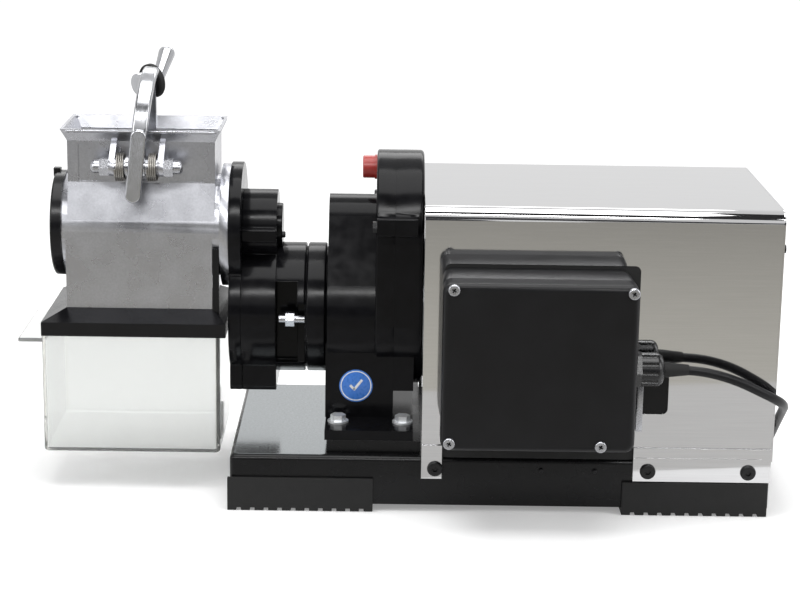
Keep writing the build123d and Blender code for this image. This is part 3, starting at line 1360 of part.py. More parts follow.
# Gland and cord
def make_cable_gland():
    face = BOX_RIGHT - 0.2
    gland = hex_x(face, face + GLAND_HEX_LEN, GLAND_FLATS, GLAND_Y, GLAND_Z)
    return gland + rod_x(face - 12, face, GLAND_THREAD_R, GLAND_Y, GLAND_Z)


def make_gland_nut():
    x0 = BOX_RIGHT - 0.2 + GLAND_HEX_LEN
    nut = rod_x(x0, x0 + GLAND_NUT_LEN, GLAND_NUT_R, GLAND_Y, GLAND_Z)
    nut = fillet(nut.faces().sort_by(Axis.X)[-1].edges(), 7.0)
    for i in range(12):
        angle = 2 * pi * i / 12
        y = GLAND_Y + (GLAND_NUT_R + 0.8) * cos(angle)
        z = GLAND_Z + (GLAND_NUT_R + 0.8) * sin(angle)
        nut -= rod_x(x0 - 1, x0 + GLAND_NUT_LEN - 6, 2.2, y, z)
    return nut


CORD_START = (BOX_RIGHT - 0.2 + GLAND_HEX_LEN + GLAND_NUT_LEN, GLAND_Y, GLAND_Z)
CORD_ROUTE = [
    CORD_START,
    (277.0, GLAND_Y, GLAND_Z),
    (301.0, GLAND_Y - 2.2, 146.8),
    (324.0, GLAND_Y - 3.4, 139.5),
    (343.0, GLAND_Y - 1.4, 130.0),
    (360.0, GLAND_Y + 5.6, 120.5),
    (BASE_RIGHT + 10.0, GLAND_Y + 23.6, 110.0),
    (BASE_RIGHT + 15.0, GLAND_Y + 55.6, 96.0),
    (BASE_RIGHT + 18.0, AXIS_Y - 45.0, 70.0),
    (BASE_RIGHT + 21.0, AXIS_Y - 1.0, 42.0),
    (BASE_RIGHT + 23.0, AXIS_Y + 39.0, 19.0),
    (BASE_RIGHT + 23.0, BASE_BACK - 47.6, 6.6),
    (BASE_RIGHT + 19.5, BASE_BACK - 11.6, 4.6),
    (BASE_RIGHT + 13.5, BASE_BACK + 22.4, 4.5),
    (COIL_X + COIL_R + CORD_R, COIL_Y - 22.0, 4.5),
]
TAIL_ROUTE = [
    (COIL_X - 22.0, COIL_Y + COIL_R + CORD_R, 4.5),
    (COIL_X - 51.0, COIL_Y + 52.0, 4.6),
    (COIL_X - 78.0, COIL_Y + 48.5, 6.4),
    (COIL_X - 104.0, COIL_Y + 42.0, 9.0),
    (COIL_X - 128.0, COIL_Y + 35.0, 9.0),
]


def corner_radii(route):
    radii = []
    for before, here, after in zip(route, route[1:], route[2:]):
        arriving = Vector(*here) - Vector(*before)
        leaving = Vector(*after) - Vector(*here)
        turn = radians(arriving.get_angle(leaving))
        radii.append(0.45 * min(arriving.length, leaving.length) / tan(turn / 2))
    return radii


def tube(route, radius):
    radii = corner_radii(route)
    path = FilletPolyline(*route, radius=radii)
    section = Plane(origin=path @ 0, z_dir=path % 0) * Circle(radius)
    solid = sweep(section, path=path)
    print("cord radii", [round(r) for r in radii], "length", round(path.length))
    print("cord volume ratio", round(solid.volume / (pi * radius**2 * path.length), 4))
    return solid


def make_mains_cord():
    return group(tube(CORD_ROUTE, CORD_R), tube(TAIL_ROUTE, CORD_R))


def make_cord_coil():
    width = 2 * CORD_R * COIL_TURNS_WIDE
    height = 2 * CORD_R * COIL_TURNS_HIGH
    outer = rod_z(0, height, COIL_R + width / 2, COIL_X, COIL_Y)
    coil = outer - rod_z(-1, height + 1, COIL_R - width / 2, COIL_X, COIL_Y)
    return fillet(coil.edges().filter_by(GeomType.CIRCLE), CORD_R * 0.9)


def make_mains_plug():
    last = Vector(*TAIL_ROUTE[-1])
    heading = last - Vector(*TAIL_ROUTE[-2])
    flat = Vector(heading.X, heading.Y, 0)
    start = Vector(last.X, last.Y, PLUG_R)
    plane = Plane(origin=start, z_dir=flat)
    boot = Plane(origin=last, z_dir=flat) * Cone(CORD_R + 1.5, 11.0, PLUG_BOOT_LEN, align=UPWARD)
    body = plane.offset(PLUG_BOOT_LEN - 3) * Cylinder(PLUG_R, PLUG_LEN, align=UPWARD)
    body = fillet(body.edges().filter_by(GeomType.CIRCLE), 2.5)
    plug = body + boot
    face = plane.offset(PLUG_BOOT_LEN - 3 + PLUG_LEN)
    for side in (-PIN_PITCH / 2, PIN_PITCH / 2):
        plug += face * Pos(side, 0, 0) * Cylinder(PLUG_PIN_R, PLUG_PIN_LEN, align=UPWARD)
    return plug & block(0, 500, 0, 500, 0, 2 * PLUG_R)


# Motor
SHIELD_RIGHT = MOTOR_FACE + SHIELD_LEN
REAR_SHIELD = SHIELD_RIGHT + MOTOR_BODY_LEN
REAR_FACE = REAR_SHIELD + SHIELD_LEN - 4


def make_motor_housing():
    shell = ring_x(SHIELD_RIGHT, REAR_SHIELD, MOTOR_R, MOTOR_R - 4, AXIS_Y, LOW_Z)
    for i in range(FIN_COUNT):
        fin = block(
            SHIELD_RIGHT,
            REAR_SHIELD,
            -FIN_THICK / 2,
            FIN_THICK / 2,
            MOTOR_R - 2,
            MOTOR_R + FIN_HEIGHT,
        )
        shell += Pos(0, AXIS_Y, LOW_Z) * Rot(360 * (i + 0.5) / FIN_COUNT, 0, 0) * fin
    return shell


def make_end_shields():
    return group(front_shield(), rear_shield())


def front_shield():
    shield = rod_x(MOTOR_FACE, SHIELD_RIGHT, MOTOR_FLANGE_R, AXIS_Y, LOW_Z)
    shield -= rod_x(MOTOR_FACE + 10, SHIELD_RIGHT + 1, MOTOR_R - 5, AXIS_Y, LOW_Z)
    shield += rod_x(MOTOR_FACE + 10, SHIELD_RIGHT, MOTOR_BEARING_R + 3, AXIS_Y, LOW_Z)
    shield -= rod_x(SHIELD_RIGHT - BEARING_LEN - 2, SHIELD_RIGHT + 1, MOTOR_BEARING_R + FIT, AXIS_Y, LOW_Z)
    return shield - rod_x(MOTOR_FACE - 1, SHIELD_RIGHT, MOTOR_SHAFT_R + 1, AXIS_Y, LOW_Z)


def rear_shield():
    shield = rod_x(REAR_SHIELD, REAR_FACE, MOTOR_R, AXIS_Y, LOW_Z)
    shield -= rod_x(REAR_SHIELD - 1, REAR_SHIELD + BEARING_LEN, MOTOR_BEARING_R + FIT, AXIS_Y, LOW_Z)
    return shield - rod_x(REAR_SHIELD, REAR_FACE + 1, MOTOR_SHAFT_R + 1, AXIS_Y, LOW_Z)


def motor_bearings():
    return (
        bearing(SHIELD_RIGHT - BEARING_LEN - 2, MOTOR_BEARING_R, MOTOR_SHAFT_R, LOW_Z),
        bearing(REAR_SHIELD, MOTOR_BEARING_R, MOTOR_SHAFT_R, LOW_Z),
    )


def make_shaft_bearings():
    return group(*gearbox_bearings(), *head_bearings(), *motor_bearings(), drum_bush())


def make_stator():
    x0 = (SHIELD_RIGHT + REAR_SHIELD - STATOR_LEN) / 2
    return ring_x(x0, x0 + STATOR_LEN, MOTOR_R - 4 - FIT, STATOR_BORE_R, AXIS_Y, LOW_Z)


def make_rotor():
    x0 = (SHIELD_RIGHT + REAR_SHIELD - STATOR_LEN) / 2
    shaft = rod_x(WHEEL_LEFT, REAR_FACE + FAN_LEN + 4, MOTOR_SHAFT_R, AXIS_Y, LOW_Z)
    angle = gap_towards(MOTOR_TEETH, 90)
    pinion = gear(MOTOR_TEETH, WHEEL_LEFT, COVER_INNER - 1, LOW_Z, MOTOR_SHAFT_R / 2, angle)
    return shaft + pinion + rod_x(x0, x0 + STATOR_LEN, ROTOR_R, AXIS_Y, LOW_Z)


def make_fan():
    x0 = REAR_FACE + 3
    fan = ring_x(x0, x0 + FAN_LEN, MOTOR_SHAFT_R + 5, MOTOR_SHAFT_R + FIT, AXIS_Y, LOW_Z)
    fan += ring_x(x0, x0 + 2, FAN_R, MOTOR_SHAFT_R + 2, AXIS_Y, LOW_Z)
    for i in range(8):
        blade = block(x0, x0 + FAN_LEN, -1, 1, MOTOR_SHAFT_R + 3, FAN_R)
        fan += Pos(0, AXIS_Y, LOW_Z) * Rot(45 * i, 0, 0) * blade
    return fan


def make_fan_cowl():
    cowl = ring_x(REAR_FACE - 8, REAR_FACE + COWL_LEN, MOTOR_R + 2, MOTOR_R + FIT, AXIS_Y, LOW_Z)
    cowl += ring_x(
        REAR_FACE + COWL_LEN - 2, REAR_FACE + COWL_LEN, MOTOR_R + 2, MOTOR_R / 2, AXIS_Y, LOW_Z
    )
    return cowl


# Switch
def make_switch_bezel():
    half_w, half_h = SWITCH_WIDTH / 2, SWITCH_HEIGHT / 2
    rim = block(
        SWITCH_X - half_w - BEZEL_RIM,
        SWITCH_X + half_w + BEZEL_RIM,
        WALL_BACK,
        WALL_BACK + BEZEL_THICK,
        SWITCH_Z - half_h - BEZEL_RIM,
        SWITCH_Z + half_h + BEZEL_RIM,
    )
    rim = fillet(rim.edges().filter_by(Axis.Y), 4.0)
    well = block(
        SWITCH_X - half_w, SWITCH_X + half_w, WALL_BACK - BEZEL_DEPTH, WALL_BACK, SWITCH_Z - half_h, SWITCH_Z + half_h
    )
    bezel = rim + well
    bezel -= block(
        SWITCH_X - ROCKER_WIDTH / 2 - SLIP,
        SWITCH_X + ROCKER_WIDTH / 2 + SLIP,
        WALL_BACK - BEZEL_DEPTH + 4,
        WALL_BACK + BEZEL_THICK + 1,
        SWITCH_Z - ROCKER_HEIGHT / 2 - 1,
        SWITCH_Z + ROCKER_HEIGHT / 2 + 1,
    )
    pin = rod_x(
        SWITCH_X - ROCKER_WIDTH / 2 - 2, SWITCH_X + ROCKER_WIDTH / 2 + 2, ROCKER_PIN_R, WALL_BACK - 6, SWITCH_Z
    )
    return bezel + pin


def make_switch_rocker():
    face = WALL_BACK + BEZEL_THICK
    section = make_face(
        Polyline(
            (face + 5.0, SWITCH_Z + ROCKER_HEIGHT / 2 - 1.5),
            (face + 1.5, SWITCH_Z),
            (face + 1.5, SWITCH_Z - ROCKER_HEIGHT / 2 + 1.5),
            (WALL_BACK - 6, SWITCH_Z - ROCKER_HEIGHT / 2 + 5),
            (WALL_BACK - 10, SWITCH_Z),
            (WALL_BACK - 6, SWITCH_Z + ROCKER_HEIGHT / 2 - 5),
            close=True,
        )
    )
    rocker = slab(section, SWITCH_X - ROCKER_WIDTH / 2, SWITCH_X + ROCKER_WIDTH / 2)
    return rocker - rod_x(
        SWITCH_X - ROCKER_WIDTH, SWITCH_X + ROCKER_WIDTH, ROCKER_PIN_R + FIT, WALL_BACK - 6, SWITCH_Z
    )


PIECES = {
    "base_tray": make_base_tray,
    "foot_strips": make_foot_strips,
    "pedestal_spacer": make_spacer,
    "foot_bolts": make_foot_bolts,
    "motor_cover": make_motor_cover,
    "cover_end_panel": make_end_panel,
    "cover_gear_side_panel": make_gear_side_panel,
    "cover_screws": make_skirt_screws,
    "gearbox_housing": make_gearbox_housing,
    "gearbox_cover": make_gearbox_cover,
    "gearbox_bearing_plate": make_bearing_plate,
    "gearbox_case_bolts": make_case_bolts,
    "oil_plug": make_oil_plug,
    "shaft_bearings": make_shaft_bearings,
    "output_wheel": make_output_wheel,
    "output_shaft": make_output_shaft,
    "intermediate_pinion_shaft": make_mid_pinion_shaft,
    "intermediate_wheel": make_mid_wheel,
    "input_gear": make_input_gear,
    "drum_gear": make_drum_gear,
    "gearbox_neck": make_gearbox_neck,
    "coupling_ring": make_coupling_ring,
    "coupling_studs": make_coupling_studs,
    "grater_gear_case": make_grater_gear_case,
    "grater_head_plate": make_head_plate,
    "drum_bearing_cap": make_bearing_cap,
    "grater_body": make_grater_body,
    "drum_end_cap": make_drum_end_cap,
    "drum_shaft": make_drum_shaft,
    "grating_drum": make_grating_drum,
    "bin_collar": make_bin_collar,
    "bin": make_bin,
    "press_lever": make_press_lever,
    "grip_ring": make_grip_ring,
    "grip": make_grip,
    "press_block": make_press_block,
    "pivot_pin": make_pivot_pin,
    "acorn_nuts": make_acorn_nuts,
    "spring_sleeves": make_spring_sleeves,
    "lever_springs": make_lever_springs,
    "switch_box_body": make_switch_box_body,
    "switch_box_lid": make_switch_box_lid,
    "lid_screws": make_lid_screws,
    "switch_box_gasket": make_box_gasket,
    "switch_box_bracket": make_box_bracket,
    "terminal_block": make_terminal_block,
    "run_capacitor": make_capacitor,
    "cable_gland": make_cable_gland,
    "gland_nut": make_gland_nut,
    "mains_cord": make_mains_cord,
    "mains_cord_coil": make_cord_coil,
    "mains_plug": make_mains_plug,
    "motor_housing": make_motor_housing,
    "motor_end_shields": make_end_shields,
    "motor_stator": make_stator,
    "motor_rotor": make_rotor,
    "motor_fan": make_fan,
    "fan_cowl": make_fan_cowl,
    "switch_bezel": make_switch_bezel,
    "switch_rocker": make_switch_rocker,
}

os.makedirs("parts", exist_ok=True)
for name, make in PIECES.items():
    export_step(make(), "parts/" + name + ".step")
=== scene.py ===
import math

import bmesh
import bpy
from mathutils import Euler, Matrix, Vector


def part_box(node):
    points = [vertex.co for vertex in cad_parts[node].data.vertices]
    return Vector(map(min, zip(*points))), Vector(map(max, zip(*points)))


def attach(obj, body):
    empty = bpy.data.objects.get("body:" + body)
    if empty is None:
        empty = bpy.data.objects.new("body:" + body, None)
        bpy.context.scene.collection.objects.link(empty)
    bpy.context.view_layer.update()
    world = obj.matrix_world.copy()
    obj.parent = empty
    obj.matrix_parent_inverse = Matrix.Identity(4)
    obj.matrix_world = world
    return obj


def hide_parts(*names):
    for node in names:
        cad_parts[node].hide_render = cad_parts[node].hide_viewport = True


bl_info = {
    "name": "Electric Grater Finishes",
    "version": (1, 0, 0),
    "blender": (4, 5, 0),
    "location": "View3D > Sidebar > Grater",
    "description": "Gives the packed electric grater its finishes, mains cord, springs and small trim",
    "category": "Object",
}

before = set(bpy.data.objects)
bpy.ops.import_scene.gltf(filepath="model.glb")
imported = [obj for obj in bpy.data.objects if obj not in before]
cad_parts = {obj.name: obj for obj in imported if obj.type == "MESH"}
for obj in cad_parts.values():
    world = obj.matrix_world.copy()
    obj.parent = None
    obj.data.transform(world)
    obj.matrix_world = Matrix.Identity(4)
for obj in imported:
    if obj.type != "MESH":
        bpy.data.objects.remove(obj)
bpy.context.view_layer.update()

MM = 0.001

# Places and sizes that the trim shares with the CAD, in millimetres
AXIS_Y = 37.0
GLAND_FACE = (251.5, -107.6, 150.0)
CORD_DIAMETER = 9.0
LEVER_AXIS_Y, LEVER_AXIS_Z = -23.6, 319.0
STICKER_PLACE = (-35.6, -29.7, 107.7)
BASE_DECK_Z = 53.8
FRONT_SHEET_Y = -87.1
BIN_TAB_REACH = 23.0
LID_SCREW_FACE_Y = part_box("lid_screws")[0][1] / MM

# The camera that was fitted to the photograph: its lens and place in millimetres, and its directions
CAMERA_LENS = 95.562
CAMERA_PLACE = (-6.09, -2011.43, 684.47)
CAMERA_RIGHT = (0.9998865, -0.0023568, 0.0148805)
CAMERA_UP = (-0.0138783, 0.240294, 0.970601)

# Points of a mesh closer than this are one point
SAME_POINT = 0.001 * MM
# Edges with a wider turn than this are shown sharp
SHARP_ANGLE = math.radians(35)


def linear(hex_colour):
    """The linear colour of an sRGB hex value."""
    channels = [int(hex_colour[i:i + 2], 16) / 255 for i in (1, 3, 5)]
    return tuple(c / 12.92 if c <= 0.04045 else ((c + 0.055) / 1.055) ** 2.4 for c in channels)


def point(x, y, z):
    """A point given in millimetres, in metres."""
    return Vector((x, y, z)) * MM


def per_mm(size):
    """The scale of a pattern whose repeat is this many millimetres."""
    return 1 / (size * MM)


def colour_property(name, description, hex_colour):
    """A colour that a user may change, with its sRGB hex value as the default."""
    return bpy.props.FloatVectorProperty(
        name=name, description=description, subtype="COLOR", size=3, min=0, max=1, default=linear(hex_colour)
    )


def length_property(name, description, millimetres):
    """A length that a user may change, with its default in millimetres."""
    return bpy.props.FloatProperty(
        name=name, description=description, subtype="DISTANCE", unit="LENGTH", min=0, default=millimetres * MM
    )


class GraterColours(bpy.types.PropertyGroup):
    """Colours of the grater's finishes"""

    enamel: colour_property("Enamel", "Black enamel of the castings", "#0E0E10")
    powder_coat: colour_property("Powder coat", "Black coating of the base tray", "#0E0E0F")
    box_plastic: colour_property("Box plastic", "Black plastic of the switch box", "#121214")
    rubber: colour_property("Rubber", "Black rubber of the foot strips", "#161616")
    stainless: colour_property("Stainless", "Polished sheet of the motor cover", "#C2C2C3")
    casting: colour_property("Casting", "Tumbled aluminium of the grating head", "#B1B2B7")
    polished_steel: colour_property("Polished steel", "Press lever and grip", "#ABACAF")
    zinc: colour_property("Zinc", "Screws, pin and nuts", "#A6A7AB")
    bolt_zinc: colour_property("Bolt zinc", "Foot bolts and their washers", "#E6E8EA")
    spring: colour_property("Spring steel", "Oil-tempered spring wire", "#8D8A85")
    machined: colour_property("Machined steel", "Shafts and gears", "#A8A9AB")
    raw_aluminium: colour_property("Raw aluminium", "Motor castings", "#A3A5A7")
    red: colour_property("Red", "Oil plug and rocker", "#9C2B25")
    sticker: colour_property("Sticker", "Ground of the round sticker", "#3A78CF")
    acrylic: colour_property("Acrylic", "Clear bin", "#EDEEED")
    acrylic_edge: colour_property("Acrylic edge", "Straw tint where two walls of the bin meet", "#DCDCC6")
    deck: colour_property("Deck plate", "Bright plate on the base top", "#9FA4A6")
    sticker_print: colour_property("Sticker print", "Ring and tick on the round sticker", "#E7E7E7")
    floor: colour_property("Floor", "Pale studio floor", "#E9E9E9")
    grey_card: colour_property("Grey card", "Card in front that the cover mirrors", "#B4B1A8")
    light_card: colour_property("Light card", "Card close in front that the cover's foot mirrors", "#C6C5C3")
    dark_screen: colour_property("Dark screen", "Upright screen that gives round metal its dark band", "#4E4E51")
    dark_ceiling: colour_property("Dark ceiling", "Board overhead that keeps upper sides dark", "#3A3A3C")


class GraterSizes(bpy.types.PropertyGroup):
    """Sizes of the grater's flexible and small pieces"""

    cord_diameter: length_property("Cord diameter", "Outer diameter of the mains cord", CORD_DIAMETER)
    cord_length: length_property("Cord length", "Length of the mains cord from the gland to the plug", 1770.0)
    spring_wire: length_property("Spring wire", "Diameter of the lever springs' wire", 1.8)
    sticker_diameter: length_property("Sticker diameter", "Diameter of the round sticker", 32.4)
    casting_edge: length_property("Casting edge", "Rounding on the edges of the castings", 1.2)
    sheet_edge: length_property("Sheet edge", "Rounding on the edges of folded and cut sheet", 0.4)


# Materials
def add_node(tree, kind, inputs=None, **settings):
    """Adds a node with its settings; an input is a value or another node's output."""
    node = tree.nodes.new(kind)
    for name, value in settings.items():
        setattr(node, name, value)
    for key, value in (inputs or {}).items():
        if isinstance(value, bpy.types.NodeSocket):
            tree.links.new(value, node.inputs[key])
        else:
            node.inputs[key].default_value = value
    return node


def start_material(name, colour, **sockets):
    """A material with its shader's sockets set, and the tree, shader and object coordinates to work on."""
    material = bpy.data.materials.new(name)
    material.use_nodes = True
    tree = material.node_tree
    shader = tree.nodes["Principled BSDF"]
    shader.inputs["Base Color"].default_value = (*colour, 1)
    for key, value in sockets.items():
        shader.inputs[key.replace("_", " ")].default_value = value
    coords = add_node(tree, "ShaderNodeTexCoord").outputs["Object"]
    material.diffuse_color = (*colour, 1)
    return material, tree, shader, coords


# The values that most of a noise lies between
NOISE_RANGE = {"From Min": 0.3, "From Max": 0.7}


def lay_patterns(start, patterns, gloss, relief, tones=(1,)):
    """Makes the gloss, relief and tones of a started material follow patterns of noise.

    patterns: by name, the size of the lumps in millimetres, the detail and, if any, the scale along each axis
    gloss: a pattern with the lowest and highest roughness
    relief: layers from the broadest, each a pattern with its depth in millimetres and its strength
    tones: the level the colour starts from, then layers, each a pattern with its largest share and its own level
    """
    material, tree, shader, coords = start
    colour = shader.inputs["Base Color"].default_value[:3]
    fields = {}
    for pattern, (size, detail, *stretch) in patterns.items():
        vector = coords
        if stretch:
            vector = add_node(tree, "ShaderNodeMapping", {"Vector": coords, "Scale": stretch[0]}).outputs["Vector"]
        lumps = add_node(tree, "ShaderNodeTexNoise", {"Vector": vector, "Scale": per_mm(size), "Detail": detail})
        fields[pattern] = lumps.outputs["Fac"]

    pattern, low, high = gloss
    roughness = add_node(
        tree, "ShaderNodeMapRange", {"Value": fields[pattern], **NOISE_RANGE, "To Min": low, "To Max": high}
    )
    tree.links.new(roughness.outputs["Result"], shader.inputs["Roughness"])

    below = {}
    for pattern, depth, strength in relief:
        relief_inputs = {"Height": fields[pattern], "Distance": depth * MM, "Strength": strength, **below}
        below = {"Normal": add_node(tree, "ShaderNodeBump", relief_inputs).outputs["Normal"]}
    tree.links.new(below["Normal"], shader.inputs["Normal"])

    ground, *layers = tones
    shade = (*[c * ground for c in colour], 1)
    for pattern, share, level in layers:
        amount = add_node(tree, "ShaderNodeMapRange", {"Value": fields[pattern], **NOISE_RANGE, "To Max": share})
        toward = (*[min(1, c * level) for c in colour], 1)
        mix_inputs = {0: amount.outputs["Result"], 6: shade, 7: toward}
        shade = add_node(tree, "ShaderNodeMix", mix_inputs, data_type="RGBA").outputs[2]
    if layers:
        tree.links.new(shade, shader.inputs["Base Color"])
    return material


def seen_rays(tree):
    """1 for camera, glossy and transmission rays, and 0 for the rays that light the scene."""
    path = add_node(tree, "ShaderNodeLightPath").outputs
    seen = path["Is Camera Ray"]
    for kind in ("Is Glossy Ray", "Is Transmission Ray"):
        seen = add_node(tree, "ShaderNodeMath", {0: seen, 1: path[kind]}, operation="MAXIMUM").outputs[0]
    return seen


def black_enamel(colours):
    # Gloss enamel sprayed on castings: near black, wet looking, with the faint orange peel of a sprayed coat
    return lay_patterns(
        start_material("gloss_black_enamel", colours.enamel, Roughness=0.17, IOR=1.5, Specular_IOR_Level=0.11),
        {"peel": (1.6, 2), "skin": (14.0, 2)},
        gloss=("skin", 0.14, 0.2),
        relief=[("peel", 0.012, 0.6)],
        tones=(0.85, ("skin", 1, 1.2)),
    )


def powder_coat(colours):
    # Powder coat on folded steel: semi-gloss black with a fine even grain, drawn at 0.9 mm so that it shows
    return lay_patterns(
        start_material(
            "black_powder_coated_steel", colours.powder_coat, Roughness=0.28, IOR=1.5, Specular_IOR_Level=0.2
        ),
        {"grain": (0.9, 2), "patches": (25.0, 2)},
        gloss=("patches", 0.22, 0.32),
        relief=[("grain", 0.02, 0.5)],
        tones=(0.85, ("patches", 1, 1.15)),
    )


def blacked_steel(colours):
    # Black oxide on hardened screws: dark, slightly blue, with dull patches from handling
    return lay_patterns(
        start_material("blackened_steel_screws", colours.enamel, Roughness=0.3, Metallic=0.4, IOR=1.5),
        {"patches": (1.5, 3)},
        gloss=("patches", 0.25, 0.45),
        relief=[("patches", 0.02, 0.5)],
    )


def moulded_plastic(name, colour, roughness, grain, depth):
    # Moulded plastic: even black with soft broad reflections and the mould's matt grain, drawn coarse so that it shows
    return lay_patterns(
        start_material(name, colour, Roughness=roughness, IOR=1.46, Specular_IOR_Level=0.24),
        {"fine": (grain, 2), "broad": (30.0, 2)},
        gloss=("broad", roughness - 0.04, roughness + 0.05),
        relief=[("fine", depth, 0.5)],
        tones=(0.9, ("broad", 1, 1.1)),
    )


def rubber(colours):
    # Moulded rubber: dull grey-black, a little dusty, with a pebbled skin drawn at 0.8 mm so that it shows
    return lay_patterns(
        start_material("moulded_black_rubber", colours.rubber, Roughness=0.7, IOR=1.52, Specular_IOR_Level=0.3),
        {"pebble": (0.8, 3), "dust": (12.0, 4)},
        gloss=("dust", 0.6, 0.8),
        relief=[("pebble", 0.06, 0.5)],
        tones=(0.8, ("dust", 1, 1.35)),
    )


def stainless_sheet(colours):
    # Bright annealed stainless sheet: mirror-like, slightly wavy, with faint rolling lines along its length
    return lay_patterns(
        start_material("polished_stainless_sheet", colours.stainless, Metallic=1.0, Roughness=0.05),
        {"rolling": (1.2, 3, (0.02, 1.0, 1.0)), "wave": (90.0, 1)},
        gloss=("rolling", 0.03, 0.08),
        relief=[("wave", 0.05, 0.25)],
        tones=(0.97, ("rolling", 1, 1.03)),
    )


def tumbled_casting(colours):
    # Gravity-cast aluminium, tumbled smooth: satin grey with faint dimples, cloudy gloss and a grain of darker
    # specks, drawn at 1.9 mm so that it shows
    return lay_patterns(
        start_material("tumbled_cast_aluminium", colours.casting, Metallic=1.0, Roughness=0.3),
        {"dimples": (4.5, 2), "grain": (1.9, 2), "clouds": (26.0, 4)},
        gloss=("clouds", 0.24, 0.34),
        relief=[("clouds", 0.1, 0.3), ("dimples", 0.06, 0.6), ("grain", 0.03, 0.8)],
        tones=(0.93, ("clouds", 1, 1.05), ("grain", 0.3, 0.6)),
    )


def polished_steel(colours):
    # Polished steel: bright, softly uneven, with hand-polishing scratches drawn at 0.7 mm so that they show
    return lay_patterns(
        start_material("hand_polished_steel", colours.polished_steel, Metallic=1.0, Roughness=0.18),
        {"scratches": (0.7, 2, (1.0, 0.15, 0.15)), "uneven": (9.0, 2)},
        gloss=("scratches", 0.14, 0.24),
        relief=[("uneven", 0.12, 0.35), ("scratches", 0.01, 0.5)],
        tones=(0.93, ("uneven", 1, 1.03)),
    )


def metal(name, colour, roughness, grain, depth):
    # Machined, cast or plated metal: even colour, slightly uneven gloss and a fine grain drawn coarse so that it shows
    return lay_patterns(
        start_material(name, colour, Metallic=1.0, Roughness=roughness),
        {"grain": (grain, 3)},
        gloss=("grain", roughness - 0.06, roughness + 0.08),
        relief=[("grain", depth, 0.6)],
        tones=(0.85, ("grain", 1, 1.08)),
    )


def gloss_plastic(name, colour, roughness):
    # Gloss-moulded plastic or printed film: saturated colour, smooth, with a slight ripple
    return lay_patterns(
        start_material(name, colour, Roughness=roughness, IOR=1.49),
        {"ripple": (2.5, 2)},
        gloss=("ripple", roughness - 0.05, roughness + 0.05),
        relief=[("ripple", 0.02, 0.4)],
        tones=(0.9, ("ripple", 1, 1.06)),
    )


def clear_acrylic(colours):
    # Cast acrylic sheet, bonded: clear with a slight milky haze from washing, and straw-yellow where two walls meet
    start = start_material(
        "clear_cast_acrylic", colours.acrylic, Roughness=0.03, IOR=1.16, Transmission_Weight=0.9
    )
    _, tree, shader, coords = start
    low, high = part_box("bin")
    tub_left = low[0] + BIN_TAB_REACH * MM
    middle = ((tub_left + high[0]) / 2, (low[1] + high[1]) / 2)
    half = ((high[0] - tub_left) / 2, (high[1] - low[1]) / 2)
    place = add_node(tree, "ShaderNodeMapping", {"Vector": coords, "Location": (-middle[0], -middle[1], 0)})
    axes = add_node(tree, "ShaderNodeSeparateXYZ", {"Vector": place.outputs["Vector"]}).outputs
    edge_starts, edge_full = 5 * MM, 1 * MM
    near = []
    for axis in (0, 1):
        outward = add_node(tree, "ShaderNodeMath", {0: axes[axis]}, operation="ABSOLUTE").outputs[0]
        limits = {"Value": outward, "From Min": half[axis] - edge_starts, "From Max": half[axis] - edge_full}
        near.append(add_node(tree, "ShaderNodeMapRange", limits).outputs["Result"])
    corner = add_node(tree, "ShaderNodeMath", {0: near[0], 1: near[1]}, operation="MULTIPLY").outputs[0]
    clear, straw = (*colours.acrylic, 1), (*colours.acrylic_edge, 1)
    mix = add_node(tree, "ShaderNodeMix", {0: corner, 6: clear, 7: straw}, data_type="RGBA")
    tree.links.new(mix.outputs[2], shader.inputs["Base Color"])
    return lay_patterns(
        start,
        {"ripple": (35.0, 1), "smear": (18.0, 4)},
        gloss=("smear", 0.02, 0.06),
        relief=[("ripple", 0.1, 0.3)],
    )


def floor_finish(colours):
    # Matt white studio board: it takes the shadow, and its own light, stronger far off, keeps it white to the camera
    material, tree, shader, coords = start_material(
        "matt_studio_board", colours.floor, Roughness=0.9, Specular_IOR_Level=0.1
    )
    distance = add_node(tree, "ShaderNodeVectorMath", {0: coords}, operation="LENGTH").outputs["Value"]
    level = add_node(
        tree,
        "ShaderNodeMapRange",
        {"Value": distance, "From Min": 0.6, "From Max": 3.0, "To Min": 0.26, "To Max": 0.7},
        interpolation_type="SMOOTHSTEP",
    ).outputs["Result"]
    own = add_node(tree, "ShaderNodeMath", {0: seen_rays(tree), 1: level}, operation="MULTIPLY")
    shader.inputs["Emission Color"].default_value = (1, 1, 1, 1)
    tree.links.new(own.outputs[0], shader.inputs["Emission Strength"])
    return material


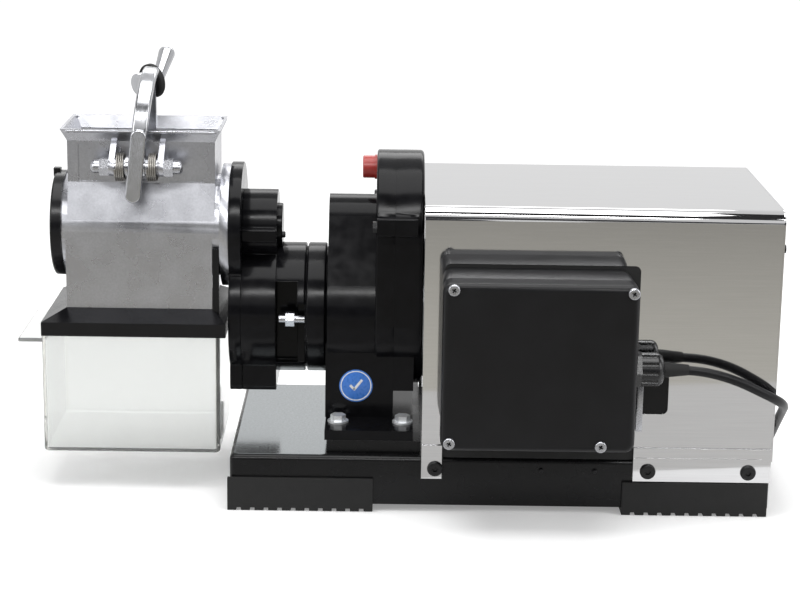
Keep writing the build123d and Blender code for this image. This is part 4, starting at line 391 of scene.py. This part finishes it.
def make_materials(colours):
    """Every finish by its short name."""
    return {
        "enamel": black_enamel(colours),
        "powder_coat": powder_coat(colours),
        "blacked": blacked_steel(colours),
        "box": moulded_plastic("moulded_black_abs", colours.box_plastic, 0.34, 0.7, 0.03),
        "collar": moulded_plastic("moulded_black_polypropylene", colours.box_plastic, 0.22, 0.9, 0.02),
        "gland": gloss_plastic("black_nylon", colours.box_plastic, 0.25),
        "cord": moulded_plastic("black_pvc_cord", colours.box_plastic, 0.38, 1.2, 0.03),
        "rubber": rubber(colours),
        "stainless": stainless_sheet(colours),
        "casting": tumbled_casting(colours),
        "lever": polished_steel(colours),
        "zinc": metal("bright_zinc_plate", colours.zinc, 0.26, 1.0, 0.02),
        "bolt_zinc": metal("dull_zinc_plate", colours.bolt_zinc, 0.5, 1.0, 0.02),
        "spring": metal("oil_tempered_spring_wire", colours.spring, 0.36, 0.8, 0.02),
        "machined": metal("machined_steel", colours.machined, 0.3, 0.6, 0.01),
        "raw_aluminium": metal("sand_cast_aluminium", colours.raw_aluminium, 0.45, 1.0, 0.08),
        "deck": metal("stainless_deck_plate", colours.deck, 0.12, 2.0, 0.01),
        "red": gloss_plastic("red_nylon", colours.red, 0.35),
        "sticker": gloss_plastic("printed_blue_film", colours.sticker, 0.3),
        "sticker_print": gloss_plastic("printed_white_film", colours.sticker_print, 0.3),
        "acrylic": clear_acrylic(colours),
    }


# Each finish by its short name, once the finishes are made
finishes = {}

# The CAD nodes that each finish goes on
FINISH_OF = {
    "enamel": (
        "gearbox_housing", "gearbox_cover", "gearbox_neck", "coupling_ring", "grater_gear_case",
        "grater_head_plate", "drum_bearing_cap",
    ),
    "powder_coat": ("base_tray", "pedestal_spacer", "fan_cowl", "switch_box_bracket"),
    "blacked": ("cover_screws", "gearbox_case_bolts"),
    "box": ("switch_box_body", "switch_box_lid", "terminal_block", "motor_fan", "switch_bezel"),
    "collar": ("bin_collar", "drum_end_cap"),
    "gland": ("cable_gland", "gland_nut"),
    "cord": ("mains_plug",),
    "rubber": ("foot_strips", "grip_ring", "switch_box_gasket"),
    "stainless": ("motor_cover", "cover_end_panel", "cover_gear_side_panel", "grating_drum"),
    "casting": ("grater_body", "press_block"),
    "lever": ("press_lever", "grip"),
    "zinc": ("coupling_studs", "lid_screws", "pivot_pin", "acorn_nuts", "spring_sleeves"),
    "bolt_zinc": ("foot_bolts",),
    "machined": (
        "shaft_bearings", "output_wheel", "output_shaft", "intermediate_pinion_shaft", "intermediate_wheel",
        "input_gear", "drum_gear", "drum_shaft", "motor_stator", "motor_rotor",
    ),
    "raw_aluminium": ("gearbox_bearing_plate", "run_capacitor", "motor_housing", "motor_end_shields"),
    "red": ("oil_plug", "switch_rocker"),
    "acrylic": ("bin",),
}

# The nodes whose edges are rounded: castings widely, sheet and mouldings narrowly
CAST_NODES = (
    "gearbox_housing", "gearbox_cover", "coupling_ring", "gearbox_neck", "grater_gear_case", "grater_head_plate",
    "grater_body", "bin_collar",
)
SHEET_NODES = (
    "motor_cover", "base_tray", "pedestal_spacer", "switch_box_body", "switch_box_lid", "bin", "foot_strips",
)


# Pieces
def link_piece(name, data):
    """Puts a new piece in the scene."""
    piece = bpy.data.objects.new(name, data)
    bpy.context.scene.collection.objects.link(piece)
    return piece


def finish_mesh(name, bm, finish, body):
    """Turns a bmesh into a piece that rides on a body."""
    bmesh.ops.remove_doubles(bm, verts=bm.verts, dist=SAME_POINT)
    bmesh.ops.recalc_face_normals(bm, faces=bm.faces)
    mesh = bpy.data.meshes.new(name)
    bm.to_mesh(mesh)
    bm.free()
    mesh.materials.append(finishes[finish])
    mesh.polygons.foreach_set("use_smooth", [True] * len(mesh.polygons))
    mesh.set_sharp_from_angle(angle=SHARP_ANGLE)
    piece = link_piece(name, mesh)
    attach(piece, body)
    return piece


def spun(bm, profile, centre, axis, steps=48):
    """A profile of (along, radius) pairs in millimetres turned about an axis through the centre."""
    axis = Vector(axis).normalized()
    side = axis.orthogonal().normalized()
    start = [centre + axis * along * MM + side * radius * MM for along, radius in profile]
    verts = [bm.verts.new(p) for p in start]
    edges = [bm.edges.new(pair) for pair in zip(verts, verts[1:])]
    bmesh.ops.spin(
        bm, geom=verts + edges, cent=centre, axis=axis, angle=2 * math.pi, steps=steps, use_merge=True
    )


def flat_bar(bm, size, turn, place):
    """A bar of this size in millimetres, turned about Y by so many degrees."""
    bar = bmesh.ops.create_cube(bm, size=MM)["verts"]
    bmesh.ops.scale(bm, verts=bar, vec=size)
    bmesh.ops.rotate(bm, verts=bar, matrix=Matrix.Rotation(math.radians(turn), 3, "Y"))
    bmesh.ops.translate(bm, verts=bar, vec=place)


def round_off(bm, edges, radius, segments):
    """Rounds the edges by a radius in millimetres."""
    bmesh.ops.bevel(
        bm, geom=edges, offset=radius * MM, segments=segments, profile=0.5, affect="EDGES", material=-1
    )


def round_wire(name, kind, places, radius):
    """A curve of round section along places in millimetres, and its spline."""
    curve = bpy.data.curves.new(name, "CURVE")
    curve.dimensions = "3D"
    curve.bevel_depth = radius
    curve.bevel_resolution = 4
    spline = curve.splines.new(kind)
    spline.points.add(len(places) - 1)
    for control, place in zip(spline.points, places):
        control.co = (*point(*place), 1)
    return curve, spline


def flat_board(name, material, size, centre, turn=(0, 0, 0)):
    """A board of the studio, with its size and centre in metres and its turn in degrees."""
    bm = bmesh.new()
    bmesh.ops.create_grid(bm, x_segments=1, y_segments=1, size=0.5)
    bmesh.ops.scale(bm, verts=bm.verts, vec=(*size, 1))
    turned = Euler([math.radians(angle) for angle in turn]).to_matrix()
    bmesh.ops.rotate(bm, verts=bm.verts, matrix=turned)
    bmesh.ops.translate(bm, verts=bm.verts, vec=centre)
    mesh = bpy.data.meshes.new(name)
    bm.to_mesh(mesh)
    bm.free()
    mesh.materials.append(material)
    board = link_piece(name, mesh)
    return board


# The cord's route, in millimetres, from the gland to the coil and from the coil to the plug
CORD_ROUTE = (
    GLAND_FACE,
    (277.0, -107.6, 150.0),
    (301.0, -109.8, 146.8),
    (324.0, -111.0, 139.5),
    (343.0, -109.0, 130.0),
    (360.0, -102.0, 120.5),
    (371.0, -84.0, 110.0),
    (376.0, -52.0, 96.0),
    (379.0, -8.0, 70.0),
    (382.0, 36.0, 42.0),
    (384.0, 76.0, 19.0),
    (384.0, 112.0, 6.6),
    (380.5, 148.0, 4.6),
    (374.5, 182.0, 4.5),
    (369.5, 214.0, 4.5),
)
TAIL_ROUTE = (
    (300.0, 287.4, 13.5),
    (284.0, 287.4, 10.5),
    (264.0, 287.4, 5.2),
    (240.0, 284.5, 6.4),
    (214.0, 278.0, 9.0),
    (190.0, 271.0, 9.0),
)
COIL_CENTRE = (318.0, 236.0)
COIL_WIDEST = 54.5
COIL_STEP = math.radians(22.5)


def coil_points():
    """Control points of the coil: two turns winding in on the floor, a climb, and two turns winding out on them."""
    start, end = math.radians(-23), math.radians(90 + 4 * 360)
    low_turns, climb = 4 * math.pi, math.radians(100)
    narrowest = COIL_WIDEST - 2 * CORD_DIAMETER
    climb_shift = 3.3
    low_z, high_z = CORD_DIAMETER / 2, CORD_DIAMETER * 1.5
    # The cord runs inside its control points, so they stand a little further out
    swell = 1 / math.cos(COIL_STEP / 2)
    points = []
    angle = start + COIL_STEP
    while angle < end - 0.01:
        wound = angle - start
        if wound <= low_turns:
            radius, z = COIL_WIDEST - CORD_DIAMETER * wound / (2 * math.pi), low_z
        elif wound <= low_turns + climb:
            share = (wound - low_turns) / climb
            radius, z = narrowest - climb_shift * share, low_z + CORD_DIAMETER * share
        else:
            turned = (wound - low_turns - climb) / (2 * math.pi)
            radius, z = narrowest - climb_shift + CORD_DIAMETER * turned, high_z
        radius *= swell
        points.append((COIL_CENTRE[0] + radius * math.cos(angle), COIL_CENTRE[1] + radius * math.sin(angle), z))
        angle += COIL_STEP
    return points


class GRATER_OT_stage(bpy.types.Operator):
    """Adds the camera, the lights, the floor and the boards that the metal mirrors"""

    bl_idname = "grater.stage"
    bl_label = "Stage"

    def execute(self, context):
        scene = context.scene
        scene.view_settings.view_transform = "Standard"
        scene.camera = self.place_camera()
        self.hang_lamps()
        self.lay_boards(scene.grater_colours)
        scene.world = self.white_world()
        return {"FINISHED"}

    @staticmethod
    def place_camera():
        lens = bpy.data.cameras.new("camera")
        lens.lens = CAMERA_LENS
        lens.sensor_width = 36
        lens.clip_end = 60
        camera = link_piece("camera", lens)
        right, up = Vector(CAMERA_RIGHT), Vector(CAMERA_UP)
        turn = Matrix((right, up, right.cross(up))).transposed()
        camera.matrix_world = Matrix.Translation(point(*CAMERA_PLACE)) @ turn.to_4x4()
        return camera

    @staticmethod
    def hang_lamps():
        middle = (0, 0, 0.15)
        strip_place, strip_aim = (0.0, -1.9, 1.65), (-0.05, 0, 0.2)
        lamps = {}
        for name, place, aim, size, watts in (
            ("top_softbox", (0.05, -0.15, 1.5), (0.05, 0.0, 0.1), (1.5, 1.0), 22),
            ("left_softbox", (-1.5, -1.0, 1.0), middle, (0.6, 1.1), 9),
            ("right_softbox", (1.6, -0.8, 1.0), middle, (0.6, 1.1), 9),
            ("back_softbox", (0.0, 1.4, 1.3), middle, (1.6, 0.6), 9),
            ("front_strip", strip_place, strip_aim, (2.4, 0.22), 34),
            ("black_strip", strip_place, strip_aim, (2.4, 0.14), 55),
        ):
            data = bpy.data.lights.new(name, "AREA")
            data.shape = "RECTANGLE"
            data.size, data.size_y = size
            data.energy = watts
            lamps[name] = link_piece(name, data)
            lamps[name].location = place
            lamps[name].rotation_euler = (Vector(aim) - Vector(place)).to_track_quat("-Z", "Y").to_euler()
        # The strips show only as soft lines of light along round metal, the second on the black castings alone
        for name in ("front_strip", "black_strip"):
            lamps[name].visible_diffuse = False
        castings = bpy.data.collections.new("black_castings")
        for node in FINISH_OF["enamel"]:
            castings.objects.link(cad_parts[node])
        lamps["black_strip"].light_linking.receiver_collection = castings

    @staticmethod
    def lay_boards(colours):
        flat_board("studio_floor", floor_finish(colours), (30, 30), (0, 0, -0.0004))
        # Matt boards out of the camera's sight, as photographers set them up for polished metal and black paint
        for name, size, centre, turn in (
            # laid in front: the polished cover mirrors them
            ("grey_card", (3.2, 1.4), (0.0, -1.15, 0.001), (0, 0, -8)),
            ("light_card", (3.2, 0.3), (0.0, -0.33, 0.0015), (0, 0, -8)),
            # upright beyond them: the dark band of round metal
            ("dark_screen", (5.0, 0.75), (0.0, -2.4, 0.42), (90, 0, 0)),
            # overhead: keeps the upper sides of castings dark
            ("dark_ceiling", (5.0, 2.6), (0.0, -0.9, 2.3), (0, 0, 0)),
        ):
            material = start_material("matt_" + name, getattr(colours, name), Roughness=0.9)[0]
            board = flat_board(name, material, size, centre, turn)
            board.visible_camera = False
            board.visible_diffuse = False
            board.visible_shadow = False

    @staticmethod
    def white_world():
        # White to the camera and in the metal, and dimmer as a light
        world = bpy.data.worlds.new("white_studio")
        world.use_nodes = True
        tree = world.node_tree
        background = tree.nodes["Background"]
        strength = add_node(tree, "ShaderNodeMapRange", {"Value": seen_rays(tree), "To Min": 0.45, "To Max": 1.0})
        background.inputs["Color"].default_value = (1, 1, 1, 1)
        tree.links.new(strength.outputs["Result"], background.inputs["Strength"])
        return world


class GRATER_OT_finishes(bpy.types.Operator):
    """Makes the materials and gives each CAD node its own"""

    bl_idname = "grater.finishes"
    bl_label = "Finishes"

    def execute(self, context):
        finishes.update(make_materials(context.scene.grater_colours))
        sizes = context.scene.grater_sizes
        for finish, nodes in FINISH_OF.items():
            for node in nodes:
                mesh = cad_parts[node].data
                mesh.materials.clear()
                mesh.materials.append(finishes[finish])
        for nodes, width in ((CAST_NODES, sizes.casting_edge), (SHEET_NODES, sizes.sheet_edge)):
            for node in nodes:
                self.round_edges(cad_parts[node], width)
        return {"FINISHED"}

    @staticmethod
    def round_edges(piece, width):
        weld = piece.modifiers.new("Joined triangles", "WELD")
        weld.merge_threshold = SAME_POINT
        flat = piece.modifiers.new("Whole flat faces", "DECIMATE")
        flat.decimate_type = "DISSOLVE"
        flat.angle_limit = math.radians(0.5)
        bevel = piece.modifiers.new("Rounded edges", "BEVEL")
        bevel.width = width
        bevel.segments = 2
        bevel.limit_method = "ANGLE"
        bevel.angle_limit = math.radians(38)
        # On the round black castings hardened normals draw slanting streaks
        bevel.harden_normals = piece.name not in FINISH_OF["enamel"]


class GRATER_OT_mains_cord(bpy.types.Operator):
    """Adds the mains cord, with its coil, and its strain relief"""

    bl_idname = "grater.mains_cord"
    bl_label = "Mains cord"

    def execute(self, context):
        sizes = context.scene.grater_sizes
        route = [*CORD_ROUTE, *coil_points(), *TAIL_ROUTE]
        curve, spline = round_wire("cord_with_coil", "NURBS", route, sizes.cord_diameter / 2)
        curve.resolution_u = 8
        spline.order_u = 3
        spline.use_endpoint_u = True
        curve.materials.append(finishes["cord"])
        cord = link_piece("cord_with_coil", curve)
        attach(cord, "frame")
        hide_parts("mains_cord", "mains_cord_coil")
        relief = bmesh.new()
        bore = CORD_DIAMETER / 2 + 0.05
        profile = ((0, bore), (0, 7.2), (5, 7.0), (14, 6.0), (23, 5.1), (24, bore))
        spun(relief, profile, point(*CORD_ROUTE[0]), (1, 0, 0))
        finish_mesh("strain_relief", relief, "rubber", "frame")
        return {"FINISHED"}


class GRATER_OT_lever_springs(bpy.types.Operator):
    """Winds the two torsion springs of the press lever"""

    bl_idname = "grater.lever_springs"
    bl_label = "Lever springs"

    def execute(self, context):
        wire = context.scene.grater_sizes.spring_wire / MM
        turns, steps_per_turn = 4.5, 28
        steps = round(turns * steps_per_turn)
        wound_radius = 12.7
        pitch = wire * 1.02
        bm = bmesh.new()
        for left in (-266.4, -235.9):
            wire_start = bmesh.ops.create_circle(bm, segments=8, radius=wire / 2 * MM, cap_ends=True)["verts"]
            place = point(left + wire / 2, LEVER_AXIS_Y - wound_radius, LEVER_AXIS_Z)
            bmesh.ops.translate(bm, verts=wire_start, vec=place)
            bmesh.ops.spin(
                bm,
                geom=[face for face in bm.faces if wire_start[0] in face.verts],
                cent=point(left, LEVER_AXIS_Y, LEVER_AXIS_Z),
                axis=(1, 0, 0),
                dvec=point(pitch * turns / steps, 0, 0),
                angle=turns * 2 * math.pi,
                steps=steps,
            )
        springs = finish_mesh("torsion_springs", bm, "spring", "frame")
        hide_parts("lever_springs")
        return {"FINISHED"}


class GRATER_OT_sticker(bpy.types.Operator):
    """Adds the round sticker on the gearbox leg"""

    bl_idname = "grater.sticker"
    bl_label = "Sticker"

    def execute(self, context):
        radius = context.scene.grater_sizes.sticker_diameter / 2 / MM
        centre = point(*STICKER_PLACE)
        outward = (0, -1, 0)
        film = 0.3
        disc = bmesh.new()
        disc_profile = ((0, 0), (0, radius), (film - 0.05, radius), (film, radius - 0.1), (film, 0))
        spun(disc, disc_profile, centre, outward, 64)
        finish_mesh("round_sticker", disc, "sticker", "frame")
        ring = bmesh.new()
        inner, outer = radius - 2.2, radius - 1.2
        under, over = film - 0.02, film + 0.06
        spun(ring, ((under, inner), (over, inner), (over, outer), (under, outer)), centre, outward, 64)
        finish_mesh("sticker_ring", ring, "sticker_print", "frame")
        stroke_width, ink = 2.4, 0.06
        tick = bmesh.new()
        for length, turn, (along, up) in ((6.0, 45, (-3.6, -1.6)), (13.0, -52, (1.9, 0.9))):
            flat_bar(tick, (length, ink, stroke_width), turn, centre + point(along, -film - ink / 2, up))
        finish_mesh("sticker_tick", tick, "sticker_print", "frame")
        return {"FINISHED"}


class GRATER_OT_small_trim(bpy.types.Operator):
    """Adds the deck plate, rivets, bearing cap screw, hopper bead, box clip and dark crosses painted as the shade in
    the lid screws' recesses
    """

    bl_idname = "grater.small_trim"
    bl_label = "Small trim"

    def execute(self, context):
        self.deck_plate()
        self.rivets_and_screw()
        self.hopper_bead()
        self.box_clip()
        self.painted_recess_shade()
        return {"FINISHED"}

    @staticmethod
    def deck_plate():
        length, width, thick, middle_x = 87.5, 236.0, 0.4, -106.8
        deck = bmesh.new()
        bmesh.ops.create_cube(deck, size=1)
        bmesh.ops.scale(deck, verts=deck.verts, vec=point(length, width, thick))
        bmesh.ops.translate(deck, verts=deck.verts, vec=point(middle_x, AXIS_Y, BASE_DECK_Z + thick / 2))
        upright = [e for e in deck.edges if abs(e.verts[0].co.z - e.verts[1].co.z) > 0.1 * MM]
        round_off(deck, upright, 4, 6)
        finish_mesh("deck_plate", deck, "deck", "frame")

    @staticmethod
    def rivets_and_screw():
        rivets = bmesh.new()
        dome = ((-1.4, 2.2), (0.0, 2.2), (0.5, 1.9), (0.8, 1.2), (0.9, 0.0))
        rivet_z = 42.5
        for x in (142.4, 193.5):
            spun(rivets, dome, point(x, FRONT_SHEET_Y, rivet_z), (0, -1, 0), 20)
        finish_mesh("blind_rivets", rivets, "blacked", "frame")

        screw = bmesh.new()
        socket_head = ((-1.5, 3.1), (2.3, 3.1), (3.0, 2.6), (3.0, 1.6), (1.2, 1.6), (1.2, 0.0))
        cap_face_x, in_front_of_axis, screw_z = -109.7, 16.5, 246.0
        spun(screw, socket_head, point(cap_face_x, AXIS_Y - in_front_of_axis, screw_z), (1, 0, 0), 24)
        finish_mesh("bearing_cap_screw", screw, "blacked", "frame")

    @staticmethod
    def hopper_bead():
        left, right, front, back, height = -313.1, -175.3, -0.1, 76.1, 350.1
        corner, bead_radius = 6, 1.8
        places = []
        for x, y, start in ((right, back, 0), (left, back, 90), (left, front, 180), (right, front, 270)):
            for turn in range(start, start + 91, 15):
                angle = math.radians(turn)
                places.append((x + corner * math.cos(angle), y + corner * math.sin(angle), height))
        bead, spline = round_wire("hopper_rim_bead", "POLY", places, bead_radius * MM)
        spline.use_cyclic_u = True
        spline.use_smooth = True
        bead.materials.append(finishes["casting"])
        bead_piece = link_piece("hopper_rim_bead", bead)
        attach(bead_piece, "frame")

    @staticmethod
    def box_clip():
        width, sheet, height, reach = 6.0, 1.4, 44.0, 8.0
        centre_x, foot_z = 233.5, 84.0
        upright = (width, sheet, height), (centre_x, FRONT_SHEET_Y - 1.1, foot_z + height / 2)
        foot = (width, reach, sheet), (centre_x, FRONT_SHEET_Y + 2.2, foot_z)
        clip = bmesh.new()
        for size, place in (upright, foot):
            flat_bar(clip, size, 0, point(*place))
        round_off(clip, clip.edges[:], 0.5, 2)
        finish_mesh("box_clip", clip, "zinc", "frame")

    @staticmethod
    def painted_recess_shade():
        # Painted shade: flat dark crosses, flush with the lid screws' heads, stand in for the shade inside their cross
        # recesses; no recess is cut, and the blacked finish is used only for its dark colour
        arm_length, arm_width, depth = 4.6, 1.1, 0.1
        crosses = bmesh.new()
        for x, z in ((53.7, 236.2), (215.5, 235.0), (51.7, 92.0), (190.4, 90.8)):
            for turn in (35, 125):
                place = point(x, LID_SCREW_FACE_Y + depth / 2, z)
                flat_bar(crosses, (arm_length, depth, arm_width), turn, place)
        finish_mesh("painted_recess_shade", crosses, "blacked", "frame")


class GRATER_PT_panel(bpy.types.Panel):
    """Lists the grater's steps, colours and sizes"""

    bl_idname = "GRATER_PT_panel"
    bl_label = "Grater"
    bl_space_type = "VIEW_3D"
    bl_region_type = "UI"
    bl_category = "Grater"

    def draw(self, context):
        for operator in STEPS:
            self.layout.operator(operator.bl_idname)
        for settings in (context.scene.grater_colours, context.scene.grater_sizes):
            for name in settings.__annotations__:
                self.layout.prop(settings, name)


STEPS = (
    GRATER_OT_stage, GRATER_OT_finishes, GRATER_OT_mains_cord, GRATER_OT_lever_springs, GRATER_OT_sticker,
    GRATER_OT_small_trim,
)
CLASSES = (GraterColours, GraterSizes, *STEPS, GRATER_PT_panel)


def register():
    for cls in CLASSES:
        bpy.utils.register_class(cls)
    bpy.types.Scene.grater_colours = bpy.props.PointerProperty(type=GraterColours)
    bpy.types.Scene.grater_sizes = bpy.props.PointerProperty(type=GraterSizes)


def unregister():
    del bpy.types.Scene.grater_sizes
    del bpy.types.Scene.grater_colours
    for cls in reversed(CLASSES):
        bpy.utils.unregister_class(cls)


def main():
    register()
    bpy.ops.grater.stage()
    bpy.ops.grater.finishes()
    bpy.ops.grater.mains_cord()
    bpy.ops.grater.lever_springs()
    bpy.ops.grater.sticker()
    bpy.ops.grater.small_trim()


if __name__ == "__main__":
    main()
